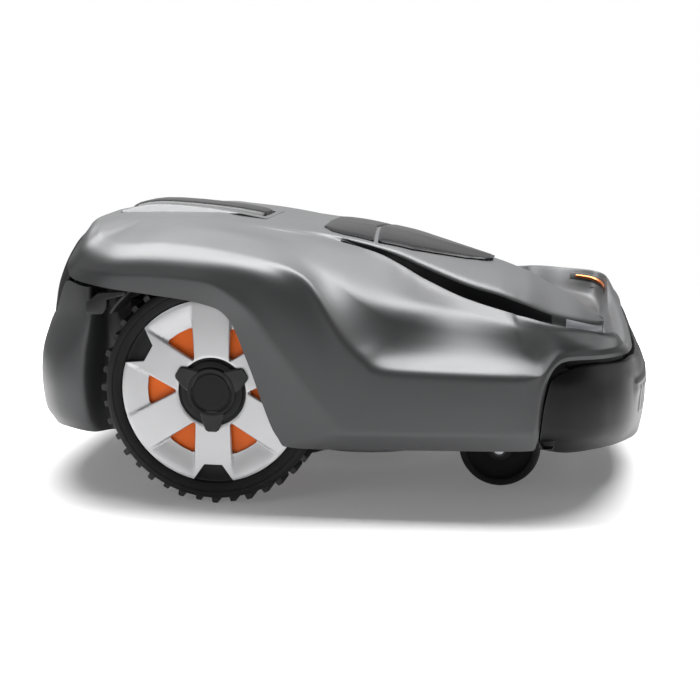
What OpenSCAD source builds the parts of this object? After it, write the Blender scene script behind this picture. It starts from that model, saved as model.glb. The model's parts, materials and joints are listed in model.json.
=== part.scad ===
// Robotic lawn mower: two driven rear wheels, two front casters, a height
// adjustable cutting disc and a floating body shell over a sealed chassis.
// +X forwards, +Y to the mower's left, +Z up, origin on the ground at the middle.

/* [Body shell] */
// Overall length of the mower
body_length = 718; // [700:1:736]
// Overall width of the body shell
body_width = 562; // [556:1:568]
// Wall thickness of the painted shells
shell_wall = 2.6; // [2:0.1:3.2]
// How far the shell can shift fore and aft in a collision
shift_travel = 5; // [3:1:6]
// How far the shell can be lifted before it reaches its stops
lift_travel = 8; // [4:1:9]

/* [Drive wheels] */
// Outer diameter of a drive wheel over its lugs
wheel_d = 250; // [242:1:252]
// Distance of the drive axle behind the middle of the mower
axle_back = 109; // [106:1:112]
// Half the distance between the outer faces of the two tyres
tyre_face = 265; // [262:1:266]
// Width of a tyre
tyre_width = 52; // [48:1:54]
// Number of lugs around each tyre
lug_count = 40; // [36:1:44]

/* [Casters] */
// Diameter of a caster wheel
caster_d = 92; // [86:1:94]
// Width of a caster wheel
caster_width = 34; // [30:1:36]
// Caster wheel axle ahead of the middle of the mower, with the fork straight
caster_x = 193; // [188:1:195]
// Caster swivel axis to the side of the middle
caster_y = 130; // [126:1:140]
// Trail between the swivel axis and the wheel axle
caster_trail = 20; // [16:1:22]

/* [Cutting deck] */
// Radius of the circle that the blade tips cut
cut_radius = 120; // [112:1:124]
// Height of the blades above the ground at the lowest setting
cut_height = 20; // [20:1:24]
// Travel of the cutting height adjustment
height_travel = 40; // [30:1:40]

/* [Controls] */
// Travel of the stop button
stop_travel = 4; // [2:0.5:4]
// Travel of a keypad key
key_travel = 1.2; // [0.6:0.1:1.4]
// Angle through which the hatch opens
hatch_open = 55; // [30:1:60]

/* [Hidden] */

// The character lines of the body are drawn on a 718 x 562 mm body and scaled to size.
line_scale = [body_length/718, body_width/562, 1];
wheel_r = wheel_d/2;
caster_r = caster_d/2;

// ---------------------------------------------------------------- body lines
// Every character line of the shell runs from the back centre round the right side
// to the front centre. A point is [u, x, w, z]: u is the place along the line, w the
// distance from the centre plane. The first line is the shell's lower edge.
edge_line = [[0,-299,0,290], [1,-294,90,287], [2,-283,160,277], [3,-285,205,257], [4,-277,225,242],
    [5,-226,262,235], [6,-178,269,230], [7,-119,273,222], [8,-89,270,206], [9,-68,269.5,158],
    [10,-39,269.5,82], [11,-27,270,69], [12,5,271,68], [13,128,271,71], [14,234,266,74],
    [15,238,265,83], [16,248,264,150], [17,267,257,168], [18,302,248,170], [19,330,212,171],
    [20,334,150,162], [21,339,70,154], [22,340,0,152]];
bevel_line = [[0,-293,0,295], [1,-289,90,293], [2,-278,160,286], [3,-276,205,266],
    [4,-266,227,254], [5,-222,264,250], [6,-175,272,251], [7,-116,278,247], [8,-67,280,218],
    [9,-34,281,175], [10,17,281,107], [11,31,281,91], [12,53,281,88], [13,143,280,90],
    [14,231,272,92], [15,235,271,98], [16,244,267,149], [17,266,258,172], [18,302,249,174],
    [19,328,213,175], [20,332,150,166], [21,336,70,158], [22,337,0,156]];
wall_line = [[0,-286,0,297], [1,-282,90,296], [2,-270,160,292], [3,-266,204,278], [4,-254,226,271],
    [5,-217,256,267], [6,-173,264,268], [7,-117,269,266], [8,-59,274,255], [9,-20,280,220],
    [10,35,281,150], [11,53,281,130], [12,82,281,123], [13,156,280,123], [14,224,273,124],
    [15,229,272,128], [16,240,268,151], [17,264,258,174], [18,301,249,177], [19,326,213,178],
    [20,329,150,168], [21,333,70,161], [22,334,0,159]];
crease_line = [[0,-278,0,298], [2,-263,145,294], [3,-254,186,288], [4,-242,208,281],
    [5,-214,231,279], [6,-174,236,281], [7,-122,240,278], [8,-54,249,266], [9,-9,267,252],
    [10,31,280,195], [11,53,280,172], [12,80,280,157], [13,156,279,155], [14,216,274,153],
    [15,223,273,153], [16,238,269,153], [17,262,258,177], [18,300,249,180], [19,324,213,180],
    [20,327,150,170], [21,331,70,163], [22,332,0,161]];
shelf_line = [[0,-268,0,299], [2,-254,130,296], [3,-242,165,290], [4,-233,182,286],
    [5,-210,197,286], [6,-175,201,288], [7,-125,203,284], [8,-52,212,272], [9,-3,243,251],
    [10,42,256,212], [11,70,253,184], [12,96,249,172], [13,159,244,169], [14,210,246,169],
    [16,232,248,168], [17,259,254,183], [18,299,252,186], [19,322,213,184], [20,325,148,171],
    [21,329,70,164], [22,330,0,162]];
shoulder_line = [[0,-254,0,299], [2,-243,112,297], [3,-232,142,293], [4,-224,156,291],
    [5,-206,167,291], [6,-174,170,293], [7,-128,170,290], [8,-54,176,277], [9,-2,212,260],
    [10,50,236,232], [11,79,234,222], [12,105,226,217], [13,151,207,206], [14,201,226,199],
    [16,226,242,192], [17,256,251,192], [18,298,256,192], [19,320,214,188], [20,322,145,171],
    [21,326,70,164], [22,327,0,162]];
facet_line = [[0,-240,0,299], [2,-233,95,298], [3,-226,120,297], [4,-220,130,296],
    [5,-206,138,296], [6,-177,141,297], [7,-136,140,293], [8,-57,142,280], [9,3,150,271],
    [10,59,144,253], [11,86,148,239], [12,110,160,226], [13,152,179,215], [14,200,209,207],
    [16,223,233,205], [17,253,250,201], [18,297,258,197], [19,318,215,191], [20,320,142,170],
    [21,323,70,163], [22,324,0,161]];
rim_line = [[0,-226,0,299], [2,-219,80,299], [3,-213,104,299], [4,-207,112,299], [5,-195,119,299],
    [6,-172,121,299], [7,-136,120,295], [8,-55,118,283], [9,3,118,274], [10,49,123,263],
    [11,79,129,250], [12,106,136,236], [13,151,165,220], [14,198,200,211], [16,221,226,209],
    [17,251,246,205], [18,296,257,200], [19,315,214,193], [20,315,138,168], [21,318,70,160],
    [22,319,0,158]];
floor_line = [[0,-212,0,299], [2,-206,75,299], [3,-202,98,299], [4,-197,106,299], [5,-186,112,299],
    [6,-165,114,299], [7,-132,112,295], [8,-52,113,284], [9,5,114,272], [10,48,116,254],
    [11,78,123,236], [12,106,131,222], [13,151,150,203], [14,198,172,189], [16,221,189,182],
    [17,250,213,174], [18,289,236,163], [19,305,198,154], [20,306,126,152], [21,310,66,146],
    [22,311,0,144]];
flank_line = [[0,-197,0,299], [2,-192,64,299], [3,-189,84,299], [4,-186,94,299], [5,-177,101,299],
    [6,-157,103,299], [7,-128,102,295], [8,-51,106,285], [9,6,108,273], [10,48,109,255],
    [11,78,114,236], [12,106,119,223], [13,150,124,204], [14,195,114,190], [16,218,102,183],
    [17,247,80,175], [18,277,52,164], [19,295,28,154], [20,302,12,149], [21,305,5,146],
    [22,306,0,144]];
hood_line = [[0,-182,0,299], [2,-178,52,299], [3,-177,70,299], [4,-175,79,299], [5,-167,86,299],
    [6,-150,88,299], [7,-124,88,295], [8,-50,97,286], [9,8,104,277], [10,48,106,268],
    [11,77,111,260], [12,105,116,249], [13,150,121,232], [14,195,111,217], [16,218,99,206],
    [17,246,77,191], [18,279,48,179], [19,296,26,173], [20,304,11,171], [21,307,4,171],
    [22,308,0,171]];
crown_line = [[0,-167,0,299], [2,-165,30,299], [4,-163,45,299], [6,-146,50,299], [7,-121,50,295],
    [8,-52,52,287], [9,5,54,282], [10,43,56,275], [11,73,57,269], [12,101,57,261], [13,146,55,247],
    [14,192,48,233], [16,216,42,224], [17,245,32,208], [18,276,20,192], [19,293,11,181],
    [20,301,5,176], [21,305,2,173], [22,307,0,172]];
spine_line = [[0,-155,0,299], [2,-151,0,299], [4,-147,0,299], [6,-136,0,299], [7,-116,0,295],
    [8,-52,0,287], [9,1,0,283], [10,38,0,278], [11,68,0,272], [12,97,0,265], [13,142,0,253],
    [14,190,0,239], [16,213,0,231], [17,242,0,215], [18,274,0,197], [19,291,0,185], [20,300,0,179],
    [21,304,0,176], [22,307,0,173.3]];
cover_lines = [edge_line, bevel_line, wall_line, crease_line, shelf_line, shoulder_line, facet_line,
    rim_line, floor_line, flank_line, hood_line, crown_line, spine_line];
// How far each line is rounded, as a share of the way to its neighbours.
cover_soft = [0, 0.15, 0.45, 0.2, 0.45, 0.35, 0.35, 0.2, 0.2, 0.2, 0.2, 0.48, 0];

// Lower rear shell, from the bottom edge up to the joint with the rear panel.
rear_lines = [
    [[0,-347,0,58], [1,-340,90,59], [2,-320,165,63], [3,-286,210,67], [4,-256,222,66],
     [5,-236,205,66], [6,-206,204,66]],
    [[0,-357,0,76], [1,-352,90,77], [2,-331,170,81], [3,-295,222,85], [4,-262,234,84],
     [5,-240,208,84], [6,-210,206,84]],
    [[0,-359,0,118], [1,-354,95,118], [2,-333,175,119], [3,-298,228,120], [4,-264,241,121],
     [5,-242,208,121], [6,-212,206,121]],
    [[0,-357,0,152], [1,-351,95,151], [2,-331,172,151], [3,-294,227,153], [4,-261,242,157],
     [5,-240,208,157], [6,-214,206,157]],
    [[0,-351,0,177], [1,-345,92,175], [2,-321,166,179], [3,-283,217,189], [4,-250,243,200],
     [5,-240,212,203], [6,-231,206,203]],
    [[0,-349,0,185], [1,-342,92,183], [2,-318,162,189], [3,-286,207,234], [4,-252,238,232],
     [5,-240,210,232], [6,-232,206,232]]];
rear_soft = [0, 0.35, 0.45, 0.4, 0.35, 0];

// Centre panel of the back, from the lower rear shell up to the deck.
panel_lines = [
    [[0,-346,0,188], [1,-340,92,186], [2,-317,160,193], [3,-285,203,240]],
    [[0,-341,0,222], [1,-335,92,219], [2,-313,157,222], [3,-285,203,245]],
    [[0,-329,0,255], [1,-322,92,251], [2,-305,156,248], [3,-285,202,250]],
    [[0,-310,0,279], [1,-305,90,275], [2,-295,153,268], [3,-284,200,255]],
    [[0,-302,0,286], [1,-297,88,282], [2,-288,150,274], [3,-283,196,259]]];
panel_soft = [0, 0.4, 0.45, 0.4, 0];

// Front bumper, from the lower edge up to the joint with the shell.
bumper_lines = [
    [[0,240,248,71], [1,268,226,63], [2,301,186,59], [3,326,146,57], [4,347,84,54], [5,355,0,53]],
    [[0,241,266,89], [1,274,256,85], [2,309,228,83], [3,335,180,80], [4,351,98,76], [5,359,0,75]],
    [[0,244,268,119], [1,276,258,117], [2,311,233,115], [3,338,190,112], [4,354,105,106],
     [5,359,0,103]],
    [[0,250,266,146], [1,275,258,145], [2,308,236,144], [3,335,200,141], [4,350,110,133],
     [5,355,0,128]],
    [[0,258,259,154], [1,277,253,162], [2,304,242,165], [3,330,206,165], [4,342,100,151],
     [5,346,0,146]],
    [[0,250,250,150], [1,268,243,157], [2,294,232,159], [3,320,197,159], [4,333,94,145],
     [5,337,0,139]]];
bumper_soft = [0, 0.35, 0.45, 0.25, 0.15, 0];

// ------------------------------------------------------- lines, skins, solids
function point(k) = [k[1], k[2], k[3]];
function last(v) = len(v) - 1;

// Slope of a line at its knot i, from the neighbouring knots, limited so that the line
// never swings past them.
function calm(m, a, b) = a*b <= 0 ? 0 : sign(a)*min(abs(m), 2*abs(a), 2*abs(b));
function slope(line, i) =
    i == 0 ? (point(line[1]) - point(line[0]))/(line[1][0] - line[0][0]) :
    i == last(line) ? (point(line[i]) - point(line[i-1]))/(line[i][0] - line[i-1][0]) :
    let(h0 = line[i][0] - line[i-1][0], h1 = line[i+1][0] - line[i][0],
        d0 = (point(line[i]) - point(line[i-1]))/h0, d1 = (point(line[i+1]) - point(line[i]))/h1,
        m = (d0*h1 + d1*h0)/(h0 + h1))
    [for (k = [0:2]) calm(m[k], d0[k], d1[k])];

// The point of a line at u.
function on_line(line, u) =
    let(i = min(last(line) - 1, max([for (k = [0:last(line)]) if (line[k][0] <= u) k])),
        h = line[i+1][0] - line[i][0], t = (u - line[i][0])/h,
        a = point(line[i]), b = point(line[i+1]))
    a*(1 + 2*t)*(1 - t)*(1 - t) + slope(line, i)*h*t*(1 - t)*(1 - t)
    + b*t*t*(3 - 2*t) + slope(line, i + 1)*h*t*t*(t - 1);

// A column across all the lines at u, with its inner corners cut by their softness.
function column(lines, soft, u) =
    let(p = [for (line = lines) on_line(line, u)])
    [p[0],
     for (i = [1:last(p)-1]) each [p[i] + soft[i]*(p[i-1] - p[i]), p[i] + soft[i]*(p[i+1] - p[i])],
     p[last(p)]];

function unit(v) = let(n = norm(v)) n > 0 ? v/n : [0, 0, 1];
// Outward direction of a grid of points at row i and column j.
function outward(g, i, j) =
    let(a = g[min(i + 1, last(g))][j] - g[max(i - 1, 0)][j],
        b = g[i][min(j + 1, last(g[0]))] - g[i][max(j - 1, 0)])
    unit(cross(b, a));
// Distance from a point of the grid to its nearest neighbour.
function spacing(g, i, j) = min([for (k = [[-1, 0], [1, 0], [0, -1], [0, 1]])
    let(a = i + k[0], b = j + k[1])
    a < 0 || a > last(g) || b < 0 || b > last(g[0]) ? 1000 : norm(g[a][b] - g[i][j])]);
// The same grid moved inwards by d, less where the points are close together;
// points of the centre plane stay on it.
function inset(g, d) =
    [for (i = [0:last(g)]) [for (j = [0:last(g[0])])
        let(q = g[i][j] - min(d, 0.35*spacing(g, i, j))*outward(g, i, j))
        g[i][j][1] < 0.01 ? [q[0], 0, q[2]] : q]];
function raised(g, d) =
    [for (i = [0:last(g)]) [for (j = [0:last(g[0])])
        let(q = g[i][j] + d*outward(g, i, j)) g[i][j][1] < 0.01 ? [q[0], 0, q[2]] : q]];
function to_frame(p, side) = [p[0]*line_scale[0], -side*p[1]*line_scale[1], p[2]*line_scale[2]];

// A closed wall between a grid of points and its inset copy. With both set, the mirror
// image joins it along the points that lie on the centre plane.
module skin(g, wall, both = true) {
    inner = inset(g, wall);
    n = len(g);
    m = len(g[0]);
    function flat(i, j) = g[i][j][1] < 0.01;
    function id(i, j, layer, half) = (layer + (flat(i, j) ? 0 : 2*half))*n*m + i*m + j;
    function turn(f, half) = half == 0 ? f : [f[2], f[1], f[0]];
    rim = [for (j = [0:m-2]) [0, j], for (i = [0:n-2]) [i, m-1], for (j = [m-1:-1:1]) [n-1, j],
           for (i = [n-1:-1:1]) [i, 0]];
    halves = both ? [0, 1] : [0];
    points = [for (half = halves) for (layer = [g, inner]) for (row = layer) for (p = row)
        to_frame(p, 1 - 2*half)];
    faces = [for (h = halves) each [
        for (i = [0:n-2]) for (j = [0:m-2]) each
            [turn([id(i,j,0,h), id(i+1,j+1,0,h), id(i,j+1,0,h)], h),
             turn([id(i,j,0,h), id(i+1,j,0,h), id(i+1,j+1,0,h)], h),
             turn([id(i,j,1,h), id(i,j+1,1,h), id(i+1,j+1,1,h)], h),
             turn([id(i,j,1,h), id(i+1,j+1,1,h), id(i+1,j,1,h)], h)],
        for (k = [0:last(rim)]) let(a = rim[k], b = rim[(k+1) % len(rim)])
            if (!both || !flat(a[0], a[1]) || !flat(b[0], b[1])) each
            [turn([id(a[0],a[1],0,h), id(b[0],b[1],1,h), id(a[0],a[1],1,h)], h),
             turn([id(a[0],a[1],0,h), id(b[0],b[1],0,h), id(b[0],b[1],1,h)], h)]]];
    polyhedron(points, faces, convexity = 10);
}
// A grid of points over a set of lines, from u0 to u1.
function grid(lines, soft, u0, u1, steps) =
    [for (k = [0:steps]) column(lines, soft, u0 + (u1 - u0)*k/steps)];

// A strip of the right side of the cover between two rows of its grid, lift above it.
module cover_strip(u0, u1, row0, row1, lift, wall) {
    g = [for (u = [u0:0.5:u1])
        let(c = column(cover_lines, cover_soft, u)) [for (j = [row0:row1]) c[j]]];
    skin(raised(g, lift + wall), wall, false);
}

// The hood surface at u, w from the centre plane.
function hood_rows(u) = let(c = column(cover_lines, cover_soft, u)) [for (j = [20:23]) c[j]];
function hood_point(u, w) =
    let(rows = hood_rows(u))
    [lookup(w, [for (r = rows) [r[1], r[0]]]), w, lookup(w, [for (r = rows) [r[1], r[2]]])];
// A plate over the hood, as wide on each side as the table says at each u.
module hood_plate(widths, u0, u1, step, lift, wall) {
    g = [for (u = [u0:step:u1]) [for (t = [0:6]) hood_point(u, lookup(u, widths)*(1 - t/6))]];
    skin(raised(g, lift + wall), wall);
}

// Places a child on the right and its mirror copy on the left.
module both_sides() {
    children();
    mirror([0, 1, 0]) children();
}
module on_left() mirror([0, 1, 0]) children();

// ------------------------------------------------------------------- chassis
well_x = 25;
well_r = cut_radius + 10;
plan_r = 140;
plan_back = -235;
tray_z0 = 60;
seam_z = 110;
gasket_t = 2;
well_top = 78;
guide_r = 40;
swivel_x = caster_x + caster_trail;
axle_z = wheel_r;
screw_spots = concat([for (y = [-60, 60]) [-229, y]], [for (x = [-190, -30], s = [-1, 1]) [x, 134*s]],
    [for (a = [-60, -20, 20, 60]) [well_x + 134.8*cos(a), 134.8*sin(a)]]);

// Outline of the chassis seen from above, moved inwards by d.
module plan(d) {
    translate([well_x, 0]) circle(r = plan_r - d, $fn = 96);
    translate([plan_back + d, -plan_r + d]) square([well_x - plan_back - d, 2*(plan_r - d)]);
}
module at_screws(z) for (p = screw_spots) translate([p[0], p[1], z]) children();

module chassis_tray() color([0.12, 0.12, 0.13]) difference() {
    union() {
        difference() {
            translate([0, 0, tray_z0]) linear_extrude(seam_z - tray_z0) plan(0);
            translate([0, 0, tray_z0 + 4]) linear_extrude(seam_z) plan(11.5);
            translate([well_x, 0, tray_z0 - 1]) cylinder(r = well_r, h = 40, $fn = 96);
        }
        difference() {
            translate([well_x, 0, tray_z0])
                cylinder(r = well_r + 3, h = well_top + 4 - tray_z0, $fn = 96);
            translate([well_x, 0, tray_z0 - 1])
                cylinder(r = well_r, h = well_top + 1 - tray_z0, $fn = 96);
        }
        translate([well_x, 0, well_top]) cylinder(r = guide_r + 5, h = 18, $fn = 64);
        translate([well_x + 62, 0, well_top + 4]) cylinder(r = 11, h = 4, $fn = 48);
        for (x = [-217, -140], s = [-1, 1]) translate([x, 122*s, tray_z0 + 4])
            cylinder(r = 4, h = 52, $fn = 32);
        translate([-170, 64, tray_z0 + 4]) cube([36, 42, 9]);
    }
    translate([well_x, 0, well_top - 1]) cylinder(r = guide_r + 0.06, h = 30, $fn = 64);
    translate([well_x + 62, 0, well_top + 5]) cylinder(r = 5.06, h = 10, $fn = 48);
    at_screws(tray_z0 - 1) cylinder(r = 2.1, h = 60, $fn = 24);
    at_screws(tray_z0 - 1) cylinder(r = 3.9, h = 5, $fn = 24);
    translate([-164, 70, tray_z0 - 1]) cube([24, 30, 10]);
}
module chassis_gasket() color([0.05, 0.05, 0.05]) translate([0, 0, seam_z])
    linear_extrude(gasket_t) difference() {
        plan(0);
        plan(11.5);
        for (p = screw_spots) translate(p) circle(r = 2.1, $fn = 24);
    }
module chassis_screws() color([0.7, 0.7, 0.72]) at_screws(tray_z0) {
    translate([0, 0, 0.5]) cylinder(r = 3.6, h = 3.5, $fn = 24);
    translate([0, 0, 2]) cylinder(r = 2, h = 60, $fn = 24);
}

// Side profile of the lid and the space inside it, moved inwards by d.
module lid_profile(d) rotate([90, 0, 0]) linear_extrude(400, center = true)
    polygon([[-300, seam_z], [200, seam_z], [200, 150 - d], [130, 172 - d], [60, 200 - d],
        [-300, 206 - d]]);
caster_boss_z0 = 108;
caster_boss_z1 = 146;
module chassis_lid() color([0.14, 0.14, 0.15]) difference() {
    union() {
        intersection() {
            translate([0, 0, seam_z + gasket_t]) linear_extrude(100) plan(0);
            lid_profile(0);
        }
        both_sides() {
            translate([0, 0, 120]) linear_extrude(12)
                polygon([[70, -100], [120, -60], [swivel_x + 10, -caster_y + 12],
                    [swivel_x - 12, -caster_y - 10]]);
            translate([swivel_x, -caster_y, caster_boss_z0])
                cylinder(r = 17, h = caster_boss_z1 - caster_boss_z0, $fn = 64);
        }
    }
    intersection() {
        translate([0, 0, seam_z]) linear_extrude(100) plan(11.5);
        lid_profile(4);
    }
    both_sides() translate([swivel_x, -caster_y, caster_boss_z0 - 1])
        cylinder(r = 8.05, h = 60, $fn = 64);
    at_screws(seam_z) cylinder(r = 2.1, h = 16, $fn = 24);
}
module battery_pack() color([0.2, 0.2, 0.22]) translate([-218, -106, tray_z0 + 4]) {
    cube([76, 164, 42]);
    translate([60, 70, 42]) cube([12, 24, 5]);
}
module main_board() color([0.1, 0.35, 0.18]) {
    translate([-221, -127, tray_z0 + 56]) cube([91, 254, 1.6]);
    for (y = [-90, -20, 50]) translate([-200, y, tray_z0 + 57.6]) cube([30, 34, 8]);
    translate([-160, -100, tray_z0 + 57.6]) cube([14, 60, 12]);
}
module wheel_motor_right() color([0.2, 0.2, 0.21]) difference() {
    translate([-axle_back, -plan_r, axle_z]) rotate([90, 0, 0]) {
        cylinder(r = 36, h = 66, $fn = 64);
        translate([-44, -13, 0]) cube([88, 58, 6]);
    }
    translate([-axle_back, -plan_r - 45, axle_z]) rotate([90, 0, 0])
        cylinder(r = 7.06, h = 30, $fn = 48);
}
module wheel_motor_left() on_left() wheel_motor_right();
module height_motor() color([0.25, 0.25, 0.27]) translate([well_x + 62, 34, well_top + 4]) {
    cylinder(r = 14, h = 46, $fn = 48);
    translate([0, 0, 46]) cylinder(r = 3, h = 36, $fn = 32);
    translate([0, 0, 81]) cylinder(r = 8, h = 6, $fn = 32);
}
// Rubber posts that carry the floating frame; their pins run in its slots.
frame_z = 214;
frame_t = 6;
post_spots = [[-190, 92], [70, 60]];
pin_spots = [[-130, 85], [30, 60]];
module float_posts() color([0.06, 0.06, 0.06]) both_sides() for (p = post_spots) difference() {
    translate([p[0], p[1], 190]) {
        cylinder(r = 9, h = frame_z - 190, $fn = 48);
        cylinder(r = 5, h = frame_z + frame_t + 3 - 190, $fn = 48);
    }
    lid_profile(0);
}

// -------------------------------------------------------------- drive wheels
// Wheel frame: the outer tyre face is the plane z = 0, z runs inwards, y downwards.
module at_wheel() translate([-axle_back, -tyre_face, axle_z]) rotate([-90, 0, 0]) children();
lobe_angles = [90, 210, 330];
bead_r = 97;
trim_r = 99.5;
module tyre_right() color([0.05, 0.05, 0.05]) at_wheel() {
    rotate_extrude($fn = 120) polygon([[bead_r, 6.2], [trim_r + 0.4, 6.2], [trim_r + 1, 3], [106, 0],
        [113, 0], [wheel_r - 6, 6], [wheel_r - 6, tyre_width - 6], [113, tyre_width],
        [100, tyre_width], [bead_r, tyre_width - 4]]);
    difference() {
        for (k = [0:lug_count-1]) rotate(k*360/lug_count)
            translate([wheel_r - 9, -3.2, k % 2 == 0 ? 4 : 9]) cube([9, 6.4, tyre_width - 13]);
        translate([0, 0, -1]) cylinder(r = wheel_r - 6.01, h = tyre_width + 2, $fn = 120);
    }
}
module rim_right() color([0.9, 0.36, 0.07]) at_wheel() difference() {
    union() {
        rotate_extrude($fn = 96) polygon([[bead_r - 5, 6.2], [bead_r, 6.2], [bead_r, tyre_width - 3],
            [bead_r - 5, tyre_width - 3]]);
        translate([0, 0, 9]) cylinder(r = bead_r - 1, h = 6, $fn = 96);
        translate([0, 0, 12.2]) cylinder(r = 18, h = 36, $fn = 64);
    }
    translate([0, 0, 7.9]) cylinder(r = 7.02, h = 60, $fn = 48);
}
module window_shape() polygon([[41.5, -2], [41.5, 2], [69, 16], [71, 13], [72, 0], [71, -13],
    [69, -16]]);
module wheel_trim_right() color([0.8, 0.81, 0.82]) at_wheel() translate([0, 0, 1])
    linear_extrude(5) difference() {
        circle(r = trim_r, $fn = 120);
        circle(r = 37.3, $fn = 64);
        for (k = [0:5]) rotate(60*k) window_shape();
        for (a = lobe_angles) rotate(a) polygon([[80, -10], [80, 10], [102, 25.5], [102, -25.5]]);
    }
module hub_cap_right() color([0.1, 0.1, 0.1]) at_wheel() {
    translate([0, 0, -3]) cylinder(r = 26, h = 3, $fn = 64);
    cylinder(r = 33.7, h = 8.9, $fn = 64);
    for (a = lobe_angles) rotate(a) translate([0, 0, -2.4]) linear_extrude(3.2)
        polygon([[20, -12.5], [28, -12.5], [43.6, -6.2], [43.6, 6.2], [28, 12.5], [20, 12.5]]);
}
module axle_right() color([0.75, 0.75, 0.77]) at_wheel() {
    translate([0, 0, 9.2]) cylinder(r = 7, h = 68, $fn = 48);
    translate([0, 0, 48.4]) cylinder(r = 12, h = 4, $fn = 48);
}
module tyre_left() on_left() tyre_right();
module rim_left() on_left() rim_right();
module wheel_trim_left() on_left() wheel_trim_right();
module hub_cap_left() on_left() hub_cap_right();
module axle_left() on_left() axle_right();

// ------------------------------------------------------------------- casters
fork_gap = caster_width/2 + 0.6;
fork_top = caster_d + 9;
module caster_fork_right() color([0.13, 0.13, 0.14]) translate([swivel_x, -caster_y, 0]) difference() {
    union() {
        translate([0, 0, fork_top - 5]) cylinder(r = 21, h = 5, $fn = 64);
        translate([0, 0, fork_top - 1]) cylinder(r = 12, h = 4, $fn = 64);
        cylinder_stem();
        for (s = [-1, 1]) translate([0, s*(fork_gap + 2), 0]) rotate([90, 0, 0])
            linear_extrude(4, center = true) {
                polygon([[-caster_trail - 9, caster_r], [-caster_trail + 8, caster_r - 3],
                    [10, fork_top], [-14, fork_top]]);
                translate([-caster_trail, caster_r]) circle(r = 9, $fn = 48);
            }
    }
    translate([-caster_trail, 0, caster_r]) rotate([90, 0, 0])
        cylinder(r = 4.02, h = 80, center = true, $fn = 48);
}
// Swivel stem, held up by the collar above the boss.
module cylinder_stem() {
    translate([0, 0, fork_top]) cylinder(r = 8, h = caster_boss_z1 + 6 - fork_top, $fn = 64);
    translate([0, 0, caster_boss_z1 + 1]) cylinder(r = 11, h = 3, $fn = 64);
}
module caster_wheel_right() color([0.06, 0.06, 0.06]) translate([caster_x, -caster_y, caster_r])
    rotate([90, 0, 0]) rotate_extrude($fn = 96) caster_section(caster_width/2);
// Half section of a caster wheel, w to each side of its middle.
module caster_section(w) polygon([[4.08, -w], [16, -w], [18, 4 - w], [caster_r - 12, 4 - w],
    [caster_r - 9, -w], [caster_r - 4, -w], [caster_r, 6 - w], [caster_r, w - 6], [caster_r - 4, w],
    [caster_r - 9, w], [caster_r - 12, w - 4], [18, w - 4], [16, w], [4.08, w]]);
module caster_axle_right() color([0.75, 0.75, 0.77])
    translate([caster_x, -caster_y, caster_r]) rotate([90, 0, 0]) {
        cylinder(r = 4, h = 2*fork_gap + 8, center = true, $fn = 48);
        for (s = [-1, 1]) translate([0, 0, s*(fork_gap + 5.2)])
            cylinder(r = 6, h = 2, center = true, $fn = 48);
    }
module caster_fork_left() on_left() caster_fork_right();
module caster_wheel_left() on_left() caster_wheel_right();
module caster_axle_left() on_left() caster_axle_right();

// -------------------------------------------------------------- cutting deck
disc_z = cut_height + 2;
pivot_r = cut_radius - 34;
module cutter_housing() color([0.16, 0.16, 0.17]) translate([well_x, 0, 0]) difference() {
    union() {
        translate([0, 0, disc_z + 8]) cylinder(r = guide_r, h = 90, $fn = 64);
        translate([0, -9, disc_z + 84]) cube([62, 18, 10]);
        translate([62, 0, disc_z + 84]) cylinder(r = 10, h = 10, $fn = 48);
    }
    translate([0, 0, disc_z + 12]) cylinder(r = guide_r - 4, h = 82, $fn = 64);
    translate([62, 0, disc_z + 80]) cylinder(r = 5.06, h = 20, $fn = 48);
    translate([0, 0, disc_z]) cylinder(r = 6.3, h = 20, $fn = 48);
}
module cutter_motor() color([0.3, 0.3, 0.32]) translate([well_x, 0, disc_z + 12]) difference() {
    cylinder(r = guide_r - 4, h = 60, $fn = 64);
    translate([0, 0, -1]) cylinder(r = 6.06, h = 31, $fn = 48);
}
module height_spindle() color([0.8, 0.8, 0.82]) translate([well_x + 62, 0, 0]) {
    translate([0, 0, well_top + 5.1]) cylinder(r = 5, h = 88, $fn = 48);
    translate([0, 0, well_top + 8.4]) cylinder(r = 8, h = 2, $fn = 48);
    translate([0, 0, well_top + 85]) cylinder(r = 25.6, h = 6, $fn = 96);
}
module cutting_disc() color([0.35, 0.35, 0.36]) translate([well_x, 0, disc_z]) difference() {
    union() {
        cylinder(r = pivot_r + 12, h = 3, $fn = 96);
        cylinder(r = 6, h = 40, $fn = 48);
        cylinder(r = 20, h = 5, $fn = 64);
        translate([0, 0, -7]) cylinder(r = 4, h = 8, $fn = 48);
    }
    for (k = [0:2]) rotate(120*k) translate([pivot_r, 0, -1])
        cylinder(r = 2.02, h = 10, $fn = 32);
    for (k = [0:2]) rotate(120*k + 60) translate([55, 0, -1])
        cylinder(r = 14, h = 10, $fn = 48);
}
module blade_screws() color([0.8, 0.8, 0.82]) translate([well_x, 0, disc_z]) for (k = [0:2])
    rotate(120*k) translate([pivot_r, 0, 0]) {
        translate([0, 0, -2]) cylinder(r = 2, h = 7, $fn = 32);
        translate([0, 0, -3.4]) cylinder(r = 5, h = 1.8, $fn = 32);
        translate([0, 0, 3]) cylinder(r = 4, h = 2, $fn = 32);
    }
module blade(k) color([0.85, 0.86, 0.87]) translate([well_x, 0, disc_z - 1.3])
    rotate(120*k) translate([pivot_r, 0, 0]) linear_extrude(0.8) difference() {
        polygon([[-7, -8], [28, -8], [34, -5], [34, 5], [28, 8], [-7, 8]]);
        circle(r = 2.2, $fn = 32);
    }
module blade_1() blade(0);
module blade_2() blade(1);
module blade_3() blade(2);
module skid_plate() color([0.08, 0.08, 0.08]) translate([well_x, 0, disc_z - 9]) difference() {
    union() {
        cylinder(r = 60, h = 2.5, $fn = 96);
        translate([0, 0, 2]) cylinder(r = 12, h = 6.6, $fn = 64);
    }
    translate([0, 0, 1.5]) cylinder(r = 4.06, h = 10, $fn = 48);
}

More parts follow.
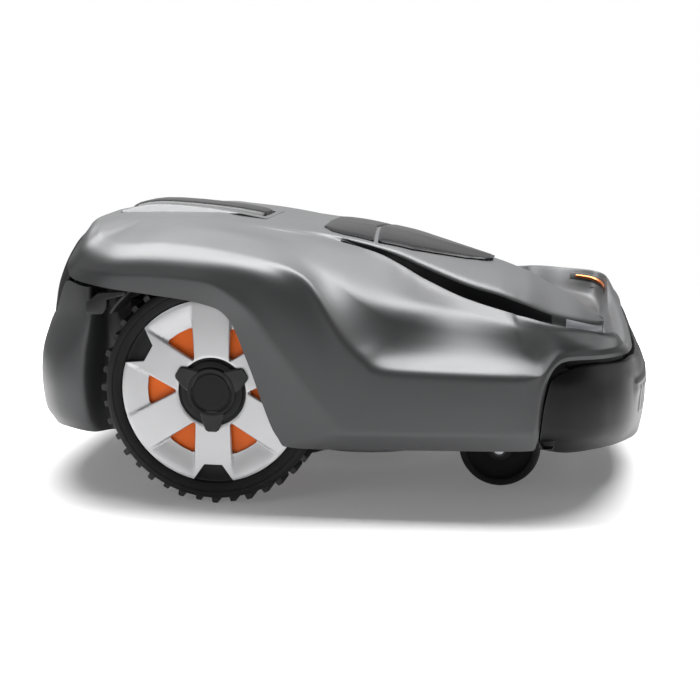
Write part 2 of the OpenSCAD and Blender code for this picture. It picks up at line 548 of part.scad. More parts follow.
// ------------------------------------------------------------- floating shell
module float_frame() color([0.2, 0.2, 0.21]) {
    difference() {
        translate([0, 0, frame_z]) linear_extrude(frame_t) difference() {
            translate([-208, -106]) square([294, 212]);
            translate([-178, -74]) square([178, 148]);
            for (y = [-120, 76]) translate([10, y]) square([120, 44]);
        }
        both_sides() for (p = post_spots) translate([p[0], p[1], frame_z - 1])
            linear_extrude(frame_t + 2) {
                square([2*shift_travel + 0.4, 10.1], center = true);
                for (s = [-1, 1]) translate([s*(shift_travel + 0.2), 0]) circle(r = 5.05, $fn = 48);
            }
    }
    both_sides() for (p = pin_spots) translate([p[0], p[1], frame_z + frame_t])
        cylinder(r = 6, h = 16, $fn = 48);
}
socket_z0 = frame_z + frame_t + 0.2;
socket_tops = [292, 272];
module cover_sockets() color([0.25, 0.25, 0.26]) both_sides() for (k = [0, 1])
    translate([pin_spots[k][0], pin_spots[k][1], socket_z0]) difference() {
        union() {
            cylinder(r = 10, h = 24, $fn = 48);
            cylinder(r = 7, h = socket_tops[k] - socket_z0, $fn = 48);
        }
        translate([0, 0, -1]) cylinder(r = 6.06, h = 18, $fn = 48);
    }

// Opening under the hatch, moved inwards by d.
function well_outline(d) = [[54 + d, 62 - d], [110, 50 - d], [150, 32 - d], [166, 20 - d],
    [168 + d, 9 - d/2], [181 - d, 9 - d/2]];
module well_plan(d) polygon(concat([for (p = well_outline(d)) p],
    [for (k = [5:-1:0]) [well_outline(d)[k][0], -well_outline(d)[k][1]]]));
module stop_plan() translate([-183, 0]) square([170, 66], center = true);

// The whole cover is one mesh: a smooth shell with two openings.
module top_cover() color([0.36, 0.37, 0.38]) resize([0, 0, 0]) difference() {
    skin(grid(cover_lines, cover_soft, 0, 22, 44), shell_wall);
    translate([0, 0, 220]) linear_extrude(80) well_plan(0);
    translate([0, 0, 280]) linear_extrude(40) stop_plan();
}
module rear_cover() color([0.36, 0.37, 0.38]) resize([0, 0, 0])
    skin(grid(rear_lines, rear_soft, 0, 6, 18), shell_wall);
module rear_panel() color([0.15, 0.15, 0.16]) resize([0, 0, 0])
    skin(grid(panel_lines, panel_soft, 0, 3, 12), shell_wall);
module bumper() color([0.1, 0.1, 0.11]) resize([0, 0, 0])
    skin(grid(bumper_lines, bumper_soft, 0, 5, 20), shell_wall);
module hood_trim_right() color([0.06, 0.06, 0.06]) resize([0, 0, 0])
    cover_strip(9, 17, 17, 19, 0.3, 1.6);
module hood_trim_left() on_left() hood_trim_right();
module headlight_right() color([0.8, 0.82, 0.85]) resize([0, 0, 0])
    cover_strip(17.5, 20.5, 17, 19, 0.3, 1.6);
module headlight_left() on_left() headlight_right();

// Copper strip on the inner wall of a front wing, just under its rim.
module charging_contact_right() color([0.72, 0.4, 0.2]) resize([0, 0, 0]) {
    g = [for (u = [17.5:0.5:19]) let(a = on_line(rim_line, u), b = on_line(floor_line, u))
        [for (t = [0.24, 0.36]) a + t*(b - a)]];
    skin(raised(g, 2.2), 1.6, false);
}
module charging_contact_left() on_left() charging_contact_right();

window_widths = [[8.5, 62], [8.7, 84], [9, 92], [9.86, 93]];
hatch_widths = [[10, 93], [11.4, 86], [12.2, 70], [13, 46], [13.45, 26], [13.6, 13]];
module status_window() color([0.03, 0.03, 0.03]) resize([0, 0, 0])
    hood_plate(window_widths, 8.5, 9.86, 0.136, 0.4, 2);
module hatch() color([0.05, 0.05, 0.05]) resize([0, 0, 0])
    hood_plate(hatch_widths, 10, 13.6, 0.2, 0.9, 2.4);

// Panel under the hatch: a tub whose floor lies parallel to the hood.
panel_tilt = 13;
module on_panel() translate([108, 0, 243]) rotate([0, panel_tilt, 0]) children();
hinge_at = [176, 0, 237];
module control_panel() color([0.12, 0.12, 0.13]) difference() {
    union() {
        intersection() {
            translate([0, 0, 215]) linear_extrude(70) well_plan(0.8);
            on_panel() translate([-70, -80, 0]) cube([120, 160, 3]);
        }
        intersection() {
            translate([0, 0, 215]) linear_extrude(70) difference() {
                well_plan(0.8);
                well_plan(3.2);
                translate([155, -20]) square([40, 40]);
            }
            on_panel() translate([-70, -80, 0]) cube([120, 160, 11]);
        }
        for (s = [-1, 1]) translate([156, s*6.6 - 1.2, 231]) cube([24, 2.4, 9.4]);
        translate([150, -7.8, 231]) cube([7, 15.6, 8]);
    }
    translate(hinge_at) rotate([90, 0, 0]) cylinder(r = 2.03, h = 40, center = true, $fn = 48);
    on_panel() translate([18, 0, -1]) {
        cylinder(r = 11.4, h = 6, $fn = 48);
        for (s = [-1, 1]) translate([-5.4, s*24 - 6.4, 0]) cube([10.8, 12.8, 6]);
    }
}
module display() color([0.35, 0.4, 0.38]) on_panel() translate([-44, -29, 3]) cube([40, 58, 1.4]);
module key_arrows() color([0.3, 0.3, 0.31]) on_panel() translate([18, 0, 0.2]) {
    cylinder(r = 11, h = 4.4, $fn = 48);
    for (k = [0:3]) rotate(90*k) translate([7, 0, 4.4]) linear_extrude(0.5)
        polygon([[2, 0], [-1.2, 2], [-1.2, -2]]);
}
module key_ok() color([0.2, 0.5, 0.25]) on_panel() translate([13, -30, 0.2]) cube([10, 12, 4.6]);
module key_back() color([0.5, 0.5, 0.52]) on_panel() translate([13, 18, 0.2])
    cube([10, 12, 4.6]);
module hatch_pin() color([0.75, 0.75, 0.77]) translate(hinge_at) rotate([90, 0, 0])
    cylinder(r = 2, h = 15.4, center = true, $fn = 48);
module hatch_hinge() color([0.06, 0.06, 0.06]) difference() {
    translate([0, 5, 0]) rotate([90, 0, 0]) linear_extrude(10) {
        polygon([[172.8, 236], [176, 240.4], [170, 245.1], [161, 247.7], [161, 246], [168, 241]]);
        translate([hinge_at[0], hinge_at[2]]) circle(r = 3.4, $fn = 48);
    }
    translate(hinge_at) rotate([90, 0, 0]) cylinder(r = 2.06, h = 40, center = true, $fn = 48);
}

// Stop button: a long domed bar that moves down in the deck opening.
module stop_button() color([0.04, 0.04, 0.04]) difference() {
    stop_solid();
    translate([-183, 0, 288]) cube([150, 50, 16], center = true);
}
module stop_solid() intersection() {
    translate([0, 0, 270]) linear_extrude(60) difference() {
        translate([-183, 0]) square([168, 64], center = true);
        for (x = [-267, -99], s = [-1, 1]) translate([x, 32*s]) rotate(45) square(18, center = true);
    }
    rotate([90, 0, 0]) linear_extrude(120, center = true) polygon([[-267, 284], [-267, 303],
        [-258, 307], [-246, 309.6], [-233, 311], [-215, 311], [-187, 309.4], [-158, 306.8],
        [-129, 303.4], [-99, 298], [-99, 284]]);
}

// Arch over a drive wheel, behind the painted shell.
module wheel_liner_right() color([0.05, 0.05, 0.05]) translate([-axle_back, -251, axle_z])
    rotate([-90, 0, 0]) rotate(215) rotate_extrude(angle = 115, $fn = 96)
        translate([wheel_r + 14, 0]) square([2.5, 52]);
module wheel_liner_left() on_left() wheel_liner_right();

module main_switch() color([0.6, 0.1, 0.08]) translate([-152, 85, tray_z0 + 4]) rotate([90, 0, 0]) {
    cylinder(r = 3, h = 27, center = true, $fn = 48);
    translate([0, -1, 0]) cube([19, 4, 27], center = true);
}

chassis_tray();
chassis_lid();
chassis_gasket();
chassis_screws();
battery_pack();
main_board();
wheel_motor_right();
wheel_motor_left();
height_motor();
float_posts();
tyre_right();
rim_right();
wheel_trim_right();
hub_cap_right();
axle_right();
tyre_left();
rim_left();
wheel_trim_left();
hub_cap_left();
axle_left();
caster_fork_right();
caster_wheel_right();
caster_axle_right();
caster_fork_left();
caster_wheel_left();
caster_axle_left();
height_spindle();
cutter_housing();
cutter_motor();
cutting_disc();
blade_screws();
skid_plate();
blade_1();
blade_2();
blade_3();
float_frame();
top_cover();
rear_cover();
rear_panel();
bumper();
hood_trim_right();
hood_trim_left();
headlight_right();
headlight_left();
charging_contact_right();
charging_contact_left();
status_window();
control_panel();
display();
wheel_liner_right();
wheel_liner_left();
cover_sockets();
hatch();
hatch_hinge();
hatch_pin();
stop_button();
key_ok();
key_back();
key_arrows();
main_switch();
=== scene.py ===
"""Looks of a robotic lawn mower: painted shells over a floating frame, silver trimmed
drive wheels, casters and a keypad under a hatch. Sizes are in millimetres until a mesh
is made; the frame gives every place it can."""
import json
import math

import bmesh
import bpy
import numpy as np
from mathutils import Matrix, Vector


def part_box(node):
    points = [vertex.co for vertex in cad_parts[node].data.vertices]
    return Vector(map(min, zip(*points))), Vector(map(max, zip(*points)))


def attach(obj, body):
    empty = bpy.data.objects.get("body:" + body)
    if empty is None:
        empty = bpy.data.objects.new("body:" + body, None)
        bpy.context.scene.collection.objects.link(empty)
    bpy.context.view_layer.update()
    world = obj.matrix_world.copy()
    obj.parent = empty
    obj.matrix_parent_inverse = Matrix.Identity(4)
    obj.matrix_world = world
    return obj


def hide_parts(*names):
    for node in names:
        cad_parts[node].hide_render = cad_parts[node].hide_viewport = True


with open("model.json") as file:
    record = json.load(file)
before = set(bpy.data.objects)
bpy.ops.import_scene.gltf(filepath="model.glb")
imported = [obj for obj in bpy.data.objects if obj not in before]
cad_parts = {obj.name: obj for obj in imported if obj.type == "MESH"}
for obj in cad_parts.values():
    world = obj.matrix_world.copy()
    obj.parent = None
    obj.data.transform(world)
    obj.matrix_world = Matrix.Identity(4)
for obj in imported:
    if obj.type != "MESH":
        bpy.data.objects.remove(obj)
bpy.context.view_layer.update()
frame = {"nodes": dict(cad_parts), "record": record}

MM = 0.001
WELD = 0.02  # points of a mesh closer than this, in mm, are made one
NODES = frame["nodes"]
RECORD = frame["record"]
BODY_OF = {n: body for body, members in RECORD["behaviour"]["bodies"].items() for n in members}
SLOT_OF = {s["node"]: s["material_slot"] for s in RECORD["subparts"]}


# ---------------------------------------------------------------- materials
def surface(name, color, rough, *, metallic=0.0, coat=0.0, coat_rough=0.1, grain=1400.0, bump=0.12,
            variation=0.08, patch=14.0, rough_spread=0.06, wear_and_highlight=0.0, stretch=(1, 1, 1), specular=0.5):
    """A procedural material: patchy colour, fine moulded grain and lighter convex edges, partly wear and
    partly a painted highlight.
    """
    mat = bpy.data.materials.new(name)
    mat.use_nodes = True
    tree = mat.node_tree
    nodes = tree.nodes
    shader = nodes["Principled BSDF"]
    shader.inputs["Metallic"].default_value = metallic
    shader.inputs["Coat Weight"].default_value = coat
    shader.inputs["Coat Roughness"].default_value = coat_rough
    shader.inputs["Specular IOR Level"].default_value = specular
    place = nodes.new("ShaderNodeTexCoord")
    mapping = nodes.new("ShaderNodeMapping")
    mapping.inputs["Scale"].default_value = stretch
    tree.links.new(place.outputs["Object"], mapping.inputs["Vector"])
    broad = noise(tree, mapping, patch, 4)
    fine = noise(tree, mapping, grain, 3)
    mix = nodes.new("ShaderNodeMix")
    mix.data_type = "RGBA"
    mix.inputs["A"].default_value = shade(color, 1 - variation)
    mix.inputs["B"].default_value = shade(color, 1 + variation)
    tree.links.new(broad.outputs["Fac"], mix.inputs["Factor"])
    base = mix.outputs["Result"]
    # Lighter convex edges: wear together with a painted edge highlight.
    if wear_and_highlight:
        base = wear_and_edge_highlight(tree, base, color, wear_and_highlight)
    tree.links.new(base, shader.inputs["Base Color"])
    spread = nodes.new("ShaderNodeMapRange")
    spread.inputs["To Min"].default_value = max(rough - rough_spread, 0.02)
    spread.inputs["To Max"].default_value = min(rough + rough_spread, 1)
    tree.links.new(broad.outputs["Fac"], spread.inputs["Value"])
    tree.links.new(spread.outputs["Result"], shader.inputs["Roughness"])
    relief = nodes.new("ShaderNodeBump")
    relief.inputs["Strength"].default_value = bump
    relief.inputs["Distance"].default_value = 0.0004
    tree.links.new(fine.outputs["Fac"], relief.inputs["Height"])
    tree.links.new(relief.outputs["Normal"], shader.inputs["Normal"])
    return mat


def noise(tree, mapping, scale, detail):
    node = tree.nodes.new("ShaderNodeTexNoise")
    node.inputs["Scale"].default_value = scale
    node.inputs["Detail"].default_value = detail
    tree.links.new(mapping.outputs["Vector"], node.inputs["Vector"])
    return node


def wear_and_edge_highlight(tree, base, color, wear_and_highlight):
    """Mixes in a lighter tone where the surface is convex: partly edge wear, partly a painted highlight along
    the edges.
    """
    geometry = tree.nodes.new("ShaderNodeNewGeometry")
    ramp = tree.nodes.new("ShaderNodeMapRange")
    ramp.inputs["From Min"].default_value = 0.52
    ramp.inputs["From Max"].default_value = 0.62
    ramp.inputs["To Max"].default_value = wear_and_highlight
    tree.links.new(geometry.outputs["Pointiness"], ramp.inputs["Value"])
    mix = tree.nodes.new("ShaderNodeMix")
    mix.data_type = "RGBA"
    mix.inputs["B"].default_value = shade(color, 1.0, 0.12)
    tree.links.new(ramp.outputs["Result"], mix.inputs["Factor"])
    tree.links.new(base, mix.inputs["A"])
    return mix.outputs["Result"]


def shade(color, factor, lift=0.0):
    return [min(c * factor + lift, 1) for c in color] + [1]


PAINT = dict(metallic=0.4, coat=0.2, coat_rough=0.44, grain=2600, bump=0.04, variation=0.03, patch=9)
# The edge amount of each look lightens its convex edges, as wear and as a painted highlight.
LOOKS = {
    "grey_shell": dict(color=(0.064, 0.065, 0.067), rough=0.48, **PAINT),
    "dark_panel": dict(color=(0.008, 0.008, 0.0085), rough=0.5, specular=0.15, grain=1500, bump=0.12,
                       wear_and_highlight=0.3),
    "bumper_black": dict(color=(0.006, 0.006, 0.0063), rough=0.38, specular=0.2, grain=1700, bump=0.2,
                         wear_and_highlight=0.25),
    "black_plastic": dict(color=(0.009, 0.009, 0.0095), rough=0.5, specular=0.35, bump=0.2, wear_and_highlight=0.3),
    "gloss_black": dict(color=(0.006, 0.006, 0.007), rough=0.28, specular=0.2, grain=600, bump=0.015,
                        variation=0.15),
    "hub_plastic": dict(color=(0.005, 0.005, 0.0053), rough=0.48, specular=0.25, bump=0.25, wear_and_highlight=0.3),
    "silver_paint": dict(color=(0.55, 0.55, 0.56), rough=0.38, metallic=0.5, coat=0.3, coat_rough=0.15,
                         grain=2400, bump=0.06, variation=0.03, wear_and_highlight=0.25),
    "orange_plastic": dict(color=(0.78, 0.13, 0.006), rough=0.5, specular=0.3, bump=0.1),
    "tyre_rubber": dict(color=(0.0065, 0.0065, 0.0065), rough=0.75, specular=0.3, grain=900, bump=0.35,
                        variation=0.25, patch=30, wear_and_highlight=0.3),
    "soft_rubber": dict(color=(0.018, 0.018, 0.018), rough=0.8, grain=700, bump=0.3),
    "steel": dict(color=(0.45, 0.45, 0.47), rough=0.34, metallic=1, grain=220, bump=0.1,
                  stretch=(1, 12, 1)),
    "disc_metal": dict(color=(0.2, 0.2, 0.21), rough=0.4, metallic=0.9, grain=300, bump=0.15),
    "motor_casing": dict(color=(0.06, 0.06, 0.065), rough=0.5, metallic=0.4, grain=800, bump=0.25),
    "battery_shell": dict(color=(0.035, 0.035, 0.04), rough=0.5, grain=1100, bump=0.2),
    "circuit_board": dict(color=(0.012, 0.09, 0.03), rough=0.4, grain=420, bump=0.2, variation=0.3,
                          patch=160),
    "lens": dict(color=(0.34, 0.35, 0.37), rough=0.12, coat=1, coat_rough=0.03, grain=500, bump=0.04),
    "copper": dict(color=(0.62, 0.2, 0.07), rough=0.32, metallic=1, grain=300, bump=0.12, wear_and_highlight=0.3,
                   stretch=(1, 1, 14)),
    "display_grey": dict(color=(0.13, 0.16, 0.14), rough=0.2, coat=0.6, coat_rough=0.05, bump=0.02),
    "key_grey": dict(color=(0.12, 0.12, 0.125), rough=0.55, grain=1800, bump=0.2),
    "key_green": dict(color=(0.03, 0.16, 0.05), rough=0.5, grain=1800, bump=0.2),
}
MATERIALS = {slot: surface(slot, **look) for slot, look in LOOKS.items()}
for node, slot in SLOT_OF.items():
    NODES[node].material_slots[0].material = MATERIALS[slot]


# ------------------------------------------------------------------- meshes
def piece(name, verts, faces, node, *others, slot=None, sharp=36.0, merge=0.0, body=None, stand_in=True):
    """Makes a smooth shaded object from points in millimetres. It stands for CAD nodes."""
    mesh = bpy.data.meshes.new(name)
    mesh.from_pydata([(x * MM, y * MM, z * MM) for x, y, z in verts], [], faces)
    tidy(mesh, merge)
    mesh.shade_smooth()
    mesh.set_sharp_from_angle(angle=math.radians(sharp))
    obj = bpy.data.objects.new(name, mesh)
    bpy.context.scene.collection.objects.link(obj)
    chosen = slot or SLOT_OF[node]
    mesh.materials.append(MATERIALS[chosen])
    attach(obj, body or BODY_OF[node])
    if stand_in:
        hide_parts(node, *others)
    return obj


def tidy(mesh, merge):
    """Welds points closer than merge millimetres and makes every face look outwards."""
    bm = bmesh.new()
    bm.from_mesh(mesh)
    if merge:
        bmesh.ops.remove_doubles(bm, verts=bm.verts, dist=merge * MM)
    bmesh.ops.dissolve_degenerate(bm, edges=bm.edges, dist=1e-7)
    bmesh.ops.recalc_face_normals(bm, faces=bm.faces)
    bm.to_mesh(mesh)
    bm.free()


def mirrored(verts):
    return [(x, -y, z) for x, y, z in verts]


def grid_faces(rows, columns, start, flip=False):
    """Quads over a grid of points that is stored row by row."""
    faces = []
    for i in range(rows - 1):
        for j in range(columns - 1):
            a = start + i * columns + j
            quad = (a, a + 1, a + columns + 1, a + columns)
            faces.append(quad[::-1] if flip else quad)
    return faces


def closed_shell(outer, inner):
    """Points and faces of the solid between two grids."""
    rows, columns = outer.shape[:2]
    count = rows * columns
    verts = [tuple(p) for p in outer.reshape(-1, 3)] + [tuple(p) for p in inner.reshape(-1, 3)]
    faces = grid_faces(rows, columns, 0) + grid_faces(rows, columns, count, True)
    ring = list(range(columns - 1))
    ring += [i * columns + columns - 1 for i in range(rows - 1)]
    ring += [(rows - 1) * columns + j for j in range(columns - 1, 0, -1)]
    ring += [i * columns for i in range(rows - 1, 0, -1)]
    for k, a in enumerate(ring):
        b = ring[(k + 1) % len(ring)]
        faces.append((a, a + count, b + count, b))
    return verts, faces


def stack_faces(n, levels, start=0):
    """Faces of a solid whose outlines of n corners lie one above the other."""
    top = start + (levels - 1) * n
    faces = [tuple(range(start + n - 1, start - 1, -1)), tuple(range(top, top + n))]
    for low in range(start, top, n):
        faces += [(low + k, low + (k + 1) % n, low + n + (k + 1) % n, low + n + k) for k in range(n)]
    return faces


def whole(verts, faces):
    """A right half together with its mirror image."""
    n = len(verts)
    return verts + mirrored(verts), faces + [tuple(i + n for i in reversed(f)) for f in faces]


def apply_modifiers(obj):
    """Replaces the mesh by its evaluated one, with nothing left on the piece."""
    graph = bpy.context.evaluated_depsgraph_get()
    made = bpy.data.meshes.new_from_object(obj.evaluated_get(graph))
    old = obj.data
    obj.modifiers.clear()
    obj.data = made
    bpy.data.meshes.remove(old)


def bevelled(obj, width, segments=2, angle=35.0):
    bevel = obj.modifiers.new("edges", "BEVEL")
    bevel.width = width * MM
    bevel.segments = segments
    bevel.limit_method = "ANGLE"
    bevel.angle_limit = math.radians(angle)
    apply_modifiers(obj)
    obj.data.shade_smooth()
    obj.data.set_sharp_from_angle(angle=math.radians(50))
    return obj


def cut(obj, outline, z0, z1):
    """Takes an upright prism out of a closed piece."""
    verts = [(x * MM, y * MM, z * MM) for z in (z0, z1) for x, y in outline]
    mesh = bpy.data.meshes.new("cutter")
    mesh.from_pydata(verts, [], stack_faces(len(outline), 2))
    tool = bpy.data.objects.new("cutter", mesh)
    bpy.context.scene.collection.objects.link(tool)
    boolean = obj.modifiers.new("opening", "BOOLEAN")
    boolean.operation = "DIFFERENCE"
    boolean.solver = "EXACT"
    boolean.object = tool
    apply_modifiers(obj)
    bpy.data.objects.remove(tool)


def rectangle(x0, x1, half):
    return [(x0, -half), (x1, -half), (x1, half), (x0, half)]


# ------------------------------------------------------- character lines
# Each line of the body is given on the right side by points [u, x, w, z]: u is the place
# along it from the back centre to the front centre, and w is the distance to the side.
EDGE = [[0,-299,0,290], [1,-294,90,287], [2,-283,160,277], [3,-285,205,257], [4,-277,225,242],
    [5,-226,262,235], [6,-178,269,230], [7,-119,273,222], [8,-89,270,206], [9,-68,269.5,158],
    [10,-39,269.5,82], [11,-27,270,69], [12,5,271,68], [13,128,271,71], [14,234,266,74],
    [15,238,265,83], [16,248,264,150], [17,267,257,168], [18,302,248,170], [19,330,212,171],
    [20,334,150,162], [21,339,70,154], [22,340,0,152]]
BEVEL = [[0,-293,0,295], [1,-289,90,293], [2,-278,160,286], [3,-276,205,266],
    [4,-266,227,254], [5,-222,264,250], [6,-175,272,251], [7,-116,278,247], [8,-67,280,218],
    [9,-34,281,175], [10,17,281,107], [11,31,281,91], [12,53,281,88], [13,143,280,90],
    [14,231,272,92], [15,235,271,98], [16,244,267,149], [17,266,258,172], [18,302,249,174],
    [19,328,213,175], [20,332,150,166], [21,336,70,158], [22,337,0,156]]
WALL = [[0,-286,0,297], [1,-282,90,296], [2,-270,160,292], [3,-266,204,278], [4,-254,226,271],
    [5,-217,256,267], [6,-173,264,268], [7,-117,269,266], [8,-59,274,255], [9,-20,280,220],
    [10,35,281,150], [11,53,281,130], [12,82,281,123], [13,156,280,123], [14,224,273,124],
    [15,229,272,128], [16,240,268,151], [17,264,258,174], [18,301,249,177], [19,326,213,178],
    [20,329,150,168], [21,333,70,161], [22,334,0,159]]
CREASE = [[0,-278,0,298], [2,-263,145,294], [3,-254,186,288], [4,-242,208,281],
    [5,-214,231,279], [6,-174,236,281], [7,-122,240,278], [8,-54,249,266], [9,-9,267,252],
    [10,31,280,195], [11,53,280,172], [12,80,280,157], [13,156,279,155], [14,216,274,153],
    [15,223,273,153], [16,238,269,153], [17,262,258,177], [18,300,249,180], [19,324,213,180],
    [20,327,150,170], [21,331,70,163], [22,332,0,161]]
SHELF = [[0,-268,0,299], [2,-254,130,296], [3,-242,165,290], [4,-233,182,286],
    [5,-210,197,286], [6,-175,201,288], [7,-125,203,284], [8,-52,212,272], [9,-3,243,251],
    [10,42,256,212], [11,70,253,184], [12,96,249,172], [13,159,244,169], [14,210,246,169],
    [16,232,248,168], [17,259,254,183], [18,299,252,186], [19,322,213,184], [20,325,148,171],
    [21,329,70,164], [22,330,0,162]]
SHOULDER = [[0,-254,0,299], [2,-243,112,297], [3,-232,142,293], [4,-224,156,291],
    [5,-206,167,291], [6,-174,170,293], [7,-128,170,290], [8,-54,176,277], [9,-2,212,260],
    [10,50,236,232], [11,79,234,222], [12,105,226,217], [13,151,207,206], [14,201,226,199],
    [16,226,242,192], [17,256,251,192], [18,298,256,192], [19,320,214,188], [20,322,145,171],
    [21,326,70,164], [22,327,0,162]]
FACET = [[0,-240,0,299], [2,-233,95,298], [3,-226,120,297], [4,-220,130,296],
    [5,-206,138,296], [6,-177,141,297], [7,-136,140,293], [8,-57,142,280], [9,3,150,271],
    [10,59,144,253], [11,86,148,239], [12,110,160,226], [13,152,179,215], [14,200,209,207],
    [16,223,233,205], [17,253,250,201], [18,297,258,197], [19,318,215,191], [20,320,142,170],
    [21,323,70,163], [22,324,0,161]]
RIM = [[0,-226,0,299], [2,-219,80,299], [3,-213,104,299], [4,-207,112,299], [5,-195,119,299],
    [6,-172,121,299], [7,-136,120,295], [8,-55,118,283], [9,3,118,274], [10,49,123,263],
    [11,79,129,250], [12,106,136,236], [13,151,165,220], [14,198,200,211], [16,221,226,209],
    [17,251,246,205], [18,296,257,200], [19,315,214,193], [20,315,138,168], [21,318,70,160],
    [22,319,0,158]]
FLOOR = [[0,-212,0,299], [2,-206,75,299], [3,-202,98,299], [4,-197,106,299], [5,-186,112,299],
    [6,-165,114,299], [7,-132,112,295], [8,-52,113,284], [9,5,114,272], [10,48,116,254],
    [11,78,123,236], [12,106,131,222], [13,151,150,203], [14,198,172,189], [16,221,189,182],
    [17,250,213,174], [18,289,236,163], [19,305,198,154], [20,306,126,152], [21,310,66,146],
    [22,311,0,144]]
FLANK = [[0,-197,0,299], [2,-192,64,299], [3,-189,84,299], [4,-186,94,299], [5,-177,101,299],
    [6,-157,103,299], [7,-128,102,295], [8,-51,106,285], [9,6,108,273], [10,48,109,255],
    [11,78,114,236], [12,106,119,223], [13,150,124,204], [14,195,114,190], [16,218,102,183],
    [17,247,80,175], [18,277,52,164], [19,295,28,154], [20,302,12,149], [21,305,5,146],
    [22,306,0,144]]
HOOD = [[0,-182,0,299], [2,-178,52,299], [3,-177,70,299], [4,-175,79,299], [5,-167,86,299],
    [6,-150,88,299], [7,-124,88,295], [8,-50,97,286], [9,8,104,277], [10,48,106,268],
    [11,77,111,260], [12,105,116,249], [13,150,121,232], [14,195,111,217], [16,218,99,206],
    [17,246,77,191], [18,279,48,179], [19,296,26,173], [20,304,11,171], [21,307,4,171],
    [22,308,0,171]]
CROWN = [[0,-167,0,299], [2,-165,30,299], [4,-163,45,299], [6,-146,50,299], [7,-121,50,295],
    [8,-52,52,287], [9,5,54,282], [10,43,56,275], [11,73,57,269], [12,101,57,261], [13,146,55,247],
    [14,192,48,233], [16,216,42,224], [17,245,32,208], [18,276,20,192], [19,293,11,181],
    [20,301,5,176], [21,305,2,173], [22,307,0,172]]
SPINE = [[0,-155,0,299], [2,-151,0,299], [4,-147,0,299], [6,-136,0,299], [7,-116,0,295],
    [8,-52,0,287], [9,1,0,283], [10,38,0,278], [11,68,0,272], [12,97,0,265], [13,142,0,253],
    [14,190,0,239], [16,213,0,231], [17,242,0,215], [18,274,0,197], [19,291,0,185], [20,300,0,179],
    [21,304,0,176], [22,307,0,173.3]]
COVER_LINES = [EDGE, BEVEL, WALL, CREASE, SHELF, SHOULDER, FACET, RIM, FLOOR, FLANK, HOOD, CROWN, SPINE]
# How far each line is rounded, as a share of the way to its neighbours.
COVER_SOFT = [0, 0.15, 0.45, 0.2, 0.45, 0.35, 0.35, 0.2, 0.2, 0.2, 0.2, 0.48, 0]
REAR_LINES = [
    [[0,-347,0,58], [1,-340,90,59], [2,-320,165,63], [3,-286,210,67], [4,-256,222,66],
     [5,-236,205,66], [6,-206,204,66]],
    [[0,-357,0,76], [1,-352,90,77], [2,-331,170,81], [3,-295,222,85], [4,-262,234,84],
     [5,-240,208,84], [6,-210,206,84]],
    [[0,-359,0,118], [1,-354,95,118], [2,-333,175,119], [3,-298,228,120], [4,-264,241,121],
     [5,-242,208,121], [6,-212,206,121]],
    [[0,-357,0,152], [1,-351,95,151], [2,-331,172,151], [3,-294,227,153], [4,-261,242,157],
     [5,-240,208,157], [6,-214,206,157]],
    [[0,-351,0,177], [1,-345,92,175], [2,-321,166,179], [3,-283,217,189], [4,-250,243,200],
     [5,-240,212,203], [6,-231,206,203]],
    [[0,-349,0,185], [1,-342,92,183], [2,-318,162,189], [3,-286,207,234], [4,-252,238,232],
     [5,-240,210,232], [6,-232,206,232]]]
REAR_SOFT = [0, 0.35, 0.45, 0.4, 0.35, 0]
PANEL_LINES = [
    [[0,-346,0,188], [1,-340,92,186], [2,-317,160,193], [3,-285,203,240]],
    [[0,-341,0,222], [1,-335,92,219], [2,-313,157,222], [3,-285,203,245]],
    [[0,-329,0,255], [1,-322,92,251], [2,-305,156,248], [3,-285,202,250]],
    [[0,-310,0,279], [1,-305,90,275], [2,-295,153,268], [3,-284,200,255]],
    [[0,-302,0,286], [1,-297,88,282], [2,-288,150,274], [3,-283,196,259]]]
PANEL_SOFT = [0, 0.4, 0.45, 0.4, 0]
BUMPER_LINES = [
    [[0,240,248,71], [1,268,226,63], [2,301,186,59], [3,326,146,57], [4,347,84,54], [5,355,0,53]],
    [[0,241,266,89], [1,274,256,85], [2,309,228,83], [3,335,180,80], [4,351,98,76], [5,359,0,75]],
    [[0,244,268,119], [1,276,258,117], [2,311,233,115], [3,338,190,112], [4,354,105,106],
     [5,359,0,103]],
    [[0,250,266,146], [1,275,258,145], [2,308,236,144], [3,335,200,141], [4,350,110,133],
     [5,355,0,128]],
    [[0,258,259,154], [1,277,253,162], [2,304,242,165], [3,330,206,165], [4,342,100,151],
     [5,346,0,146]],
    [[0,250,250,150], [1,268,243,157], [2,294,232,159], [3,320,197,159], [4,333,94,145],
     [5,337,0,139]]]
BUMPER_SOFT = [0, 0.35, 0.45, 0.25, 0.15, 0]


def slope(line, i):
    """Slope of a line at a knot, limited so that the line never swings past its points."""
    u, p = line[:, 0], line[:, 1:]
    last = len(line) - 1
    if i in (0, last):
        a = min(i, last - 1)
        return (p[a + 1] - p[a]) / (u[a + 1] - u[a])
    h0, h1 = u[i] - u[i - 1], u[i + 1] - u[i]
    d0, d1 = (p[i] - p[i - 1]) / h0, (p[i + 1] - p[i]) / h1
    m = (d0 * h1 + d1 * h0) / (h0 + h1)
    limit = 2 * np.minimum(abs(d0), abs(d1))
    return np.where(d0 * d1 <= 0, 0, np.sign(d0) * np.minimum(abs(m), limit))


def on_line(line, u):
    line = np.asarray(line, float)
    i = int(np.clip(np.searchsorted(line[:, 0], u + 1e-9, side="right") - 1, 0, len(line) - 2))
    h = line[i + 1, 0] - line[i, 0]
    t = (u - line[i, 0]) / h
    return (line[i, 1:] * (1 + 2 * t) * (1 - t) ** 2 + slope(line, i) * h * t * (1 - t) ** 2
            + line[i + 1, 1:] * t * t * (3 - 2 * t) + slope(line, i + 1) * h * t * t * (t - 1))


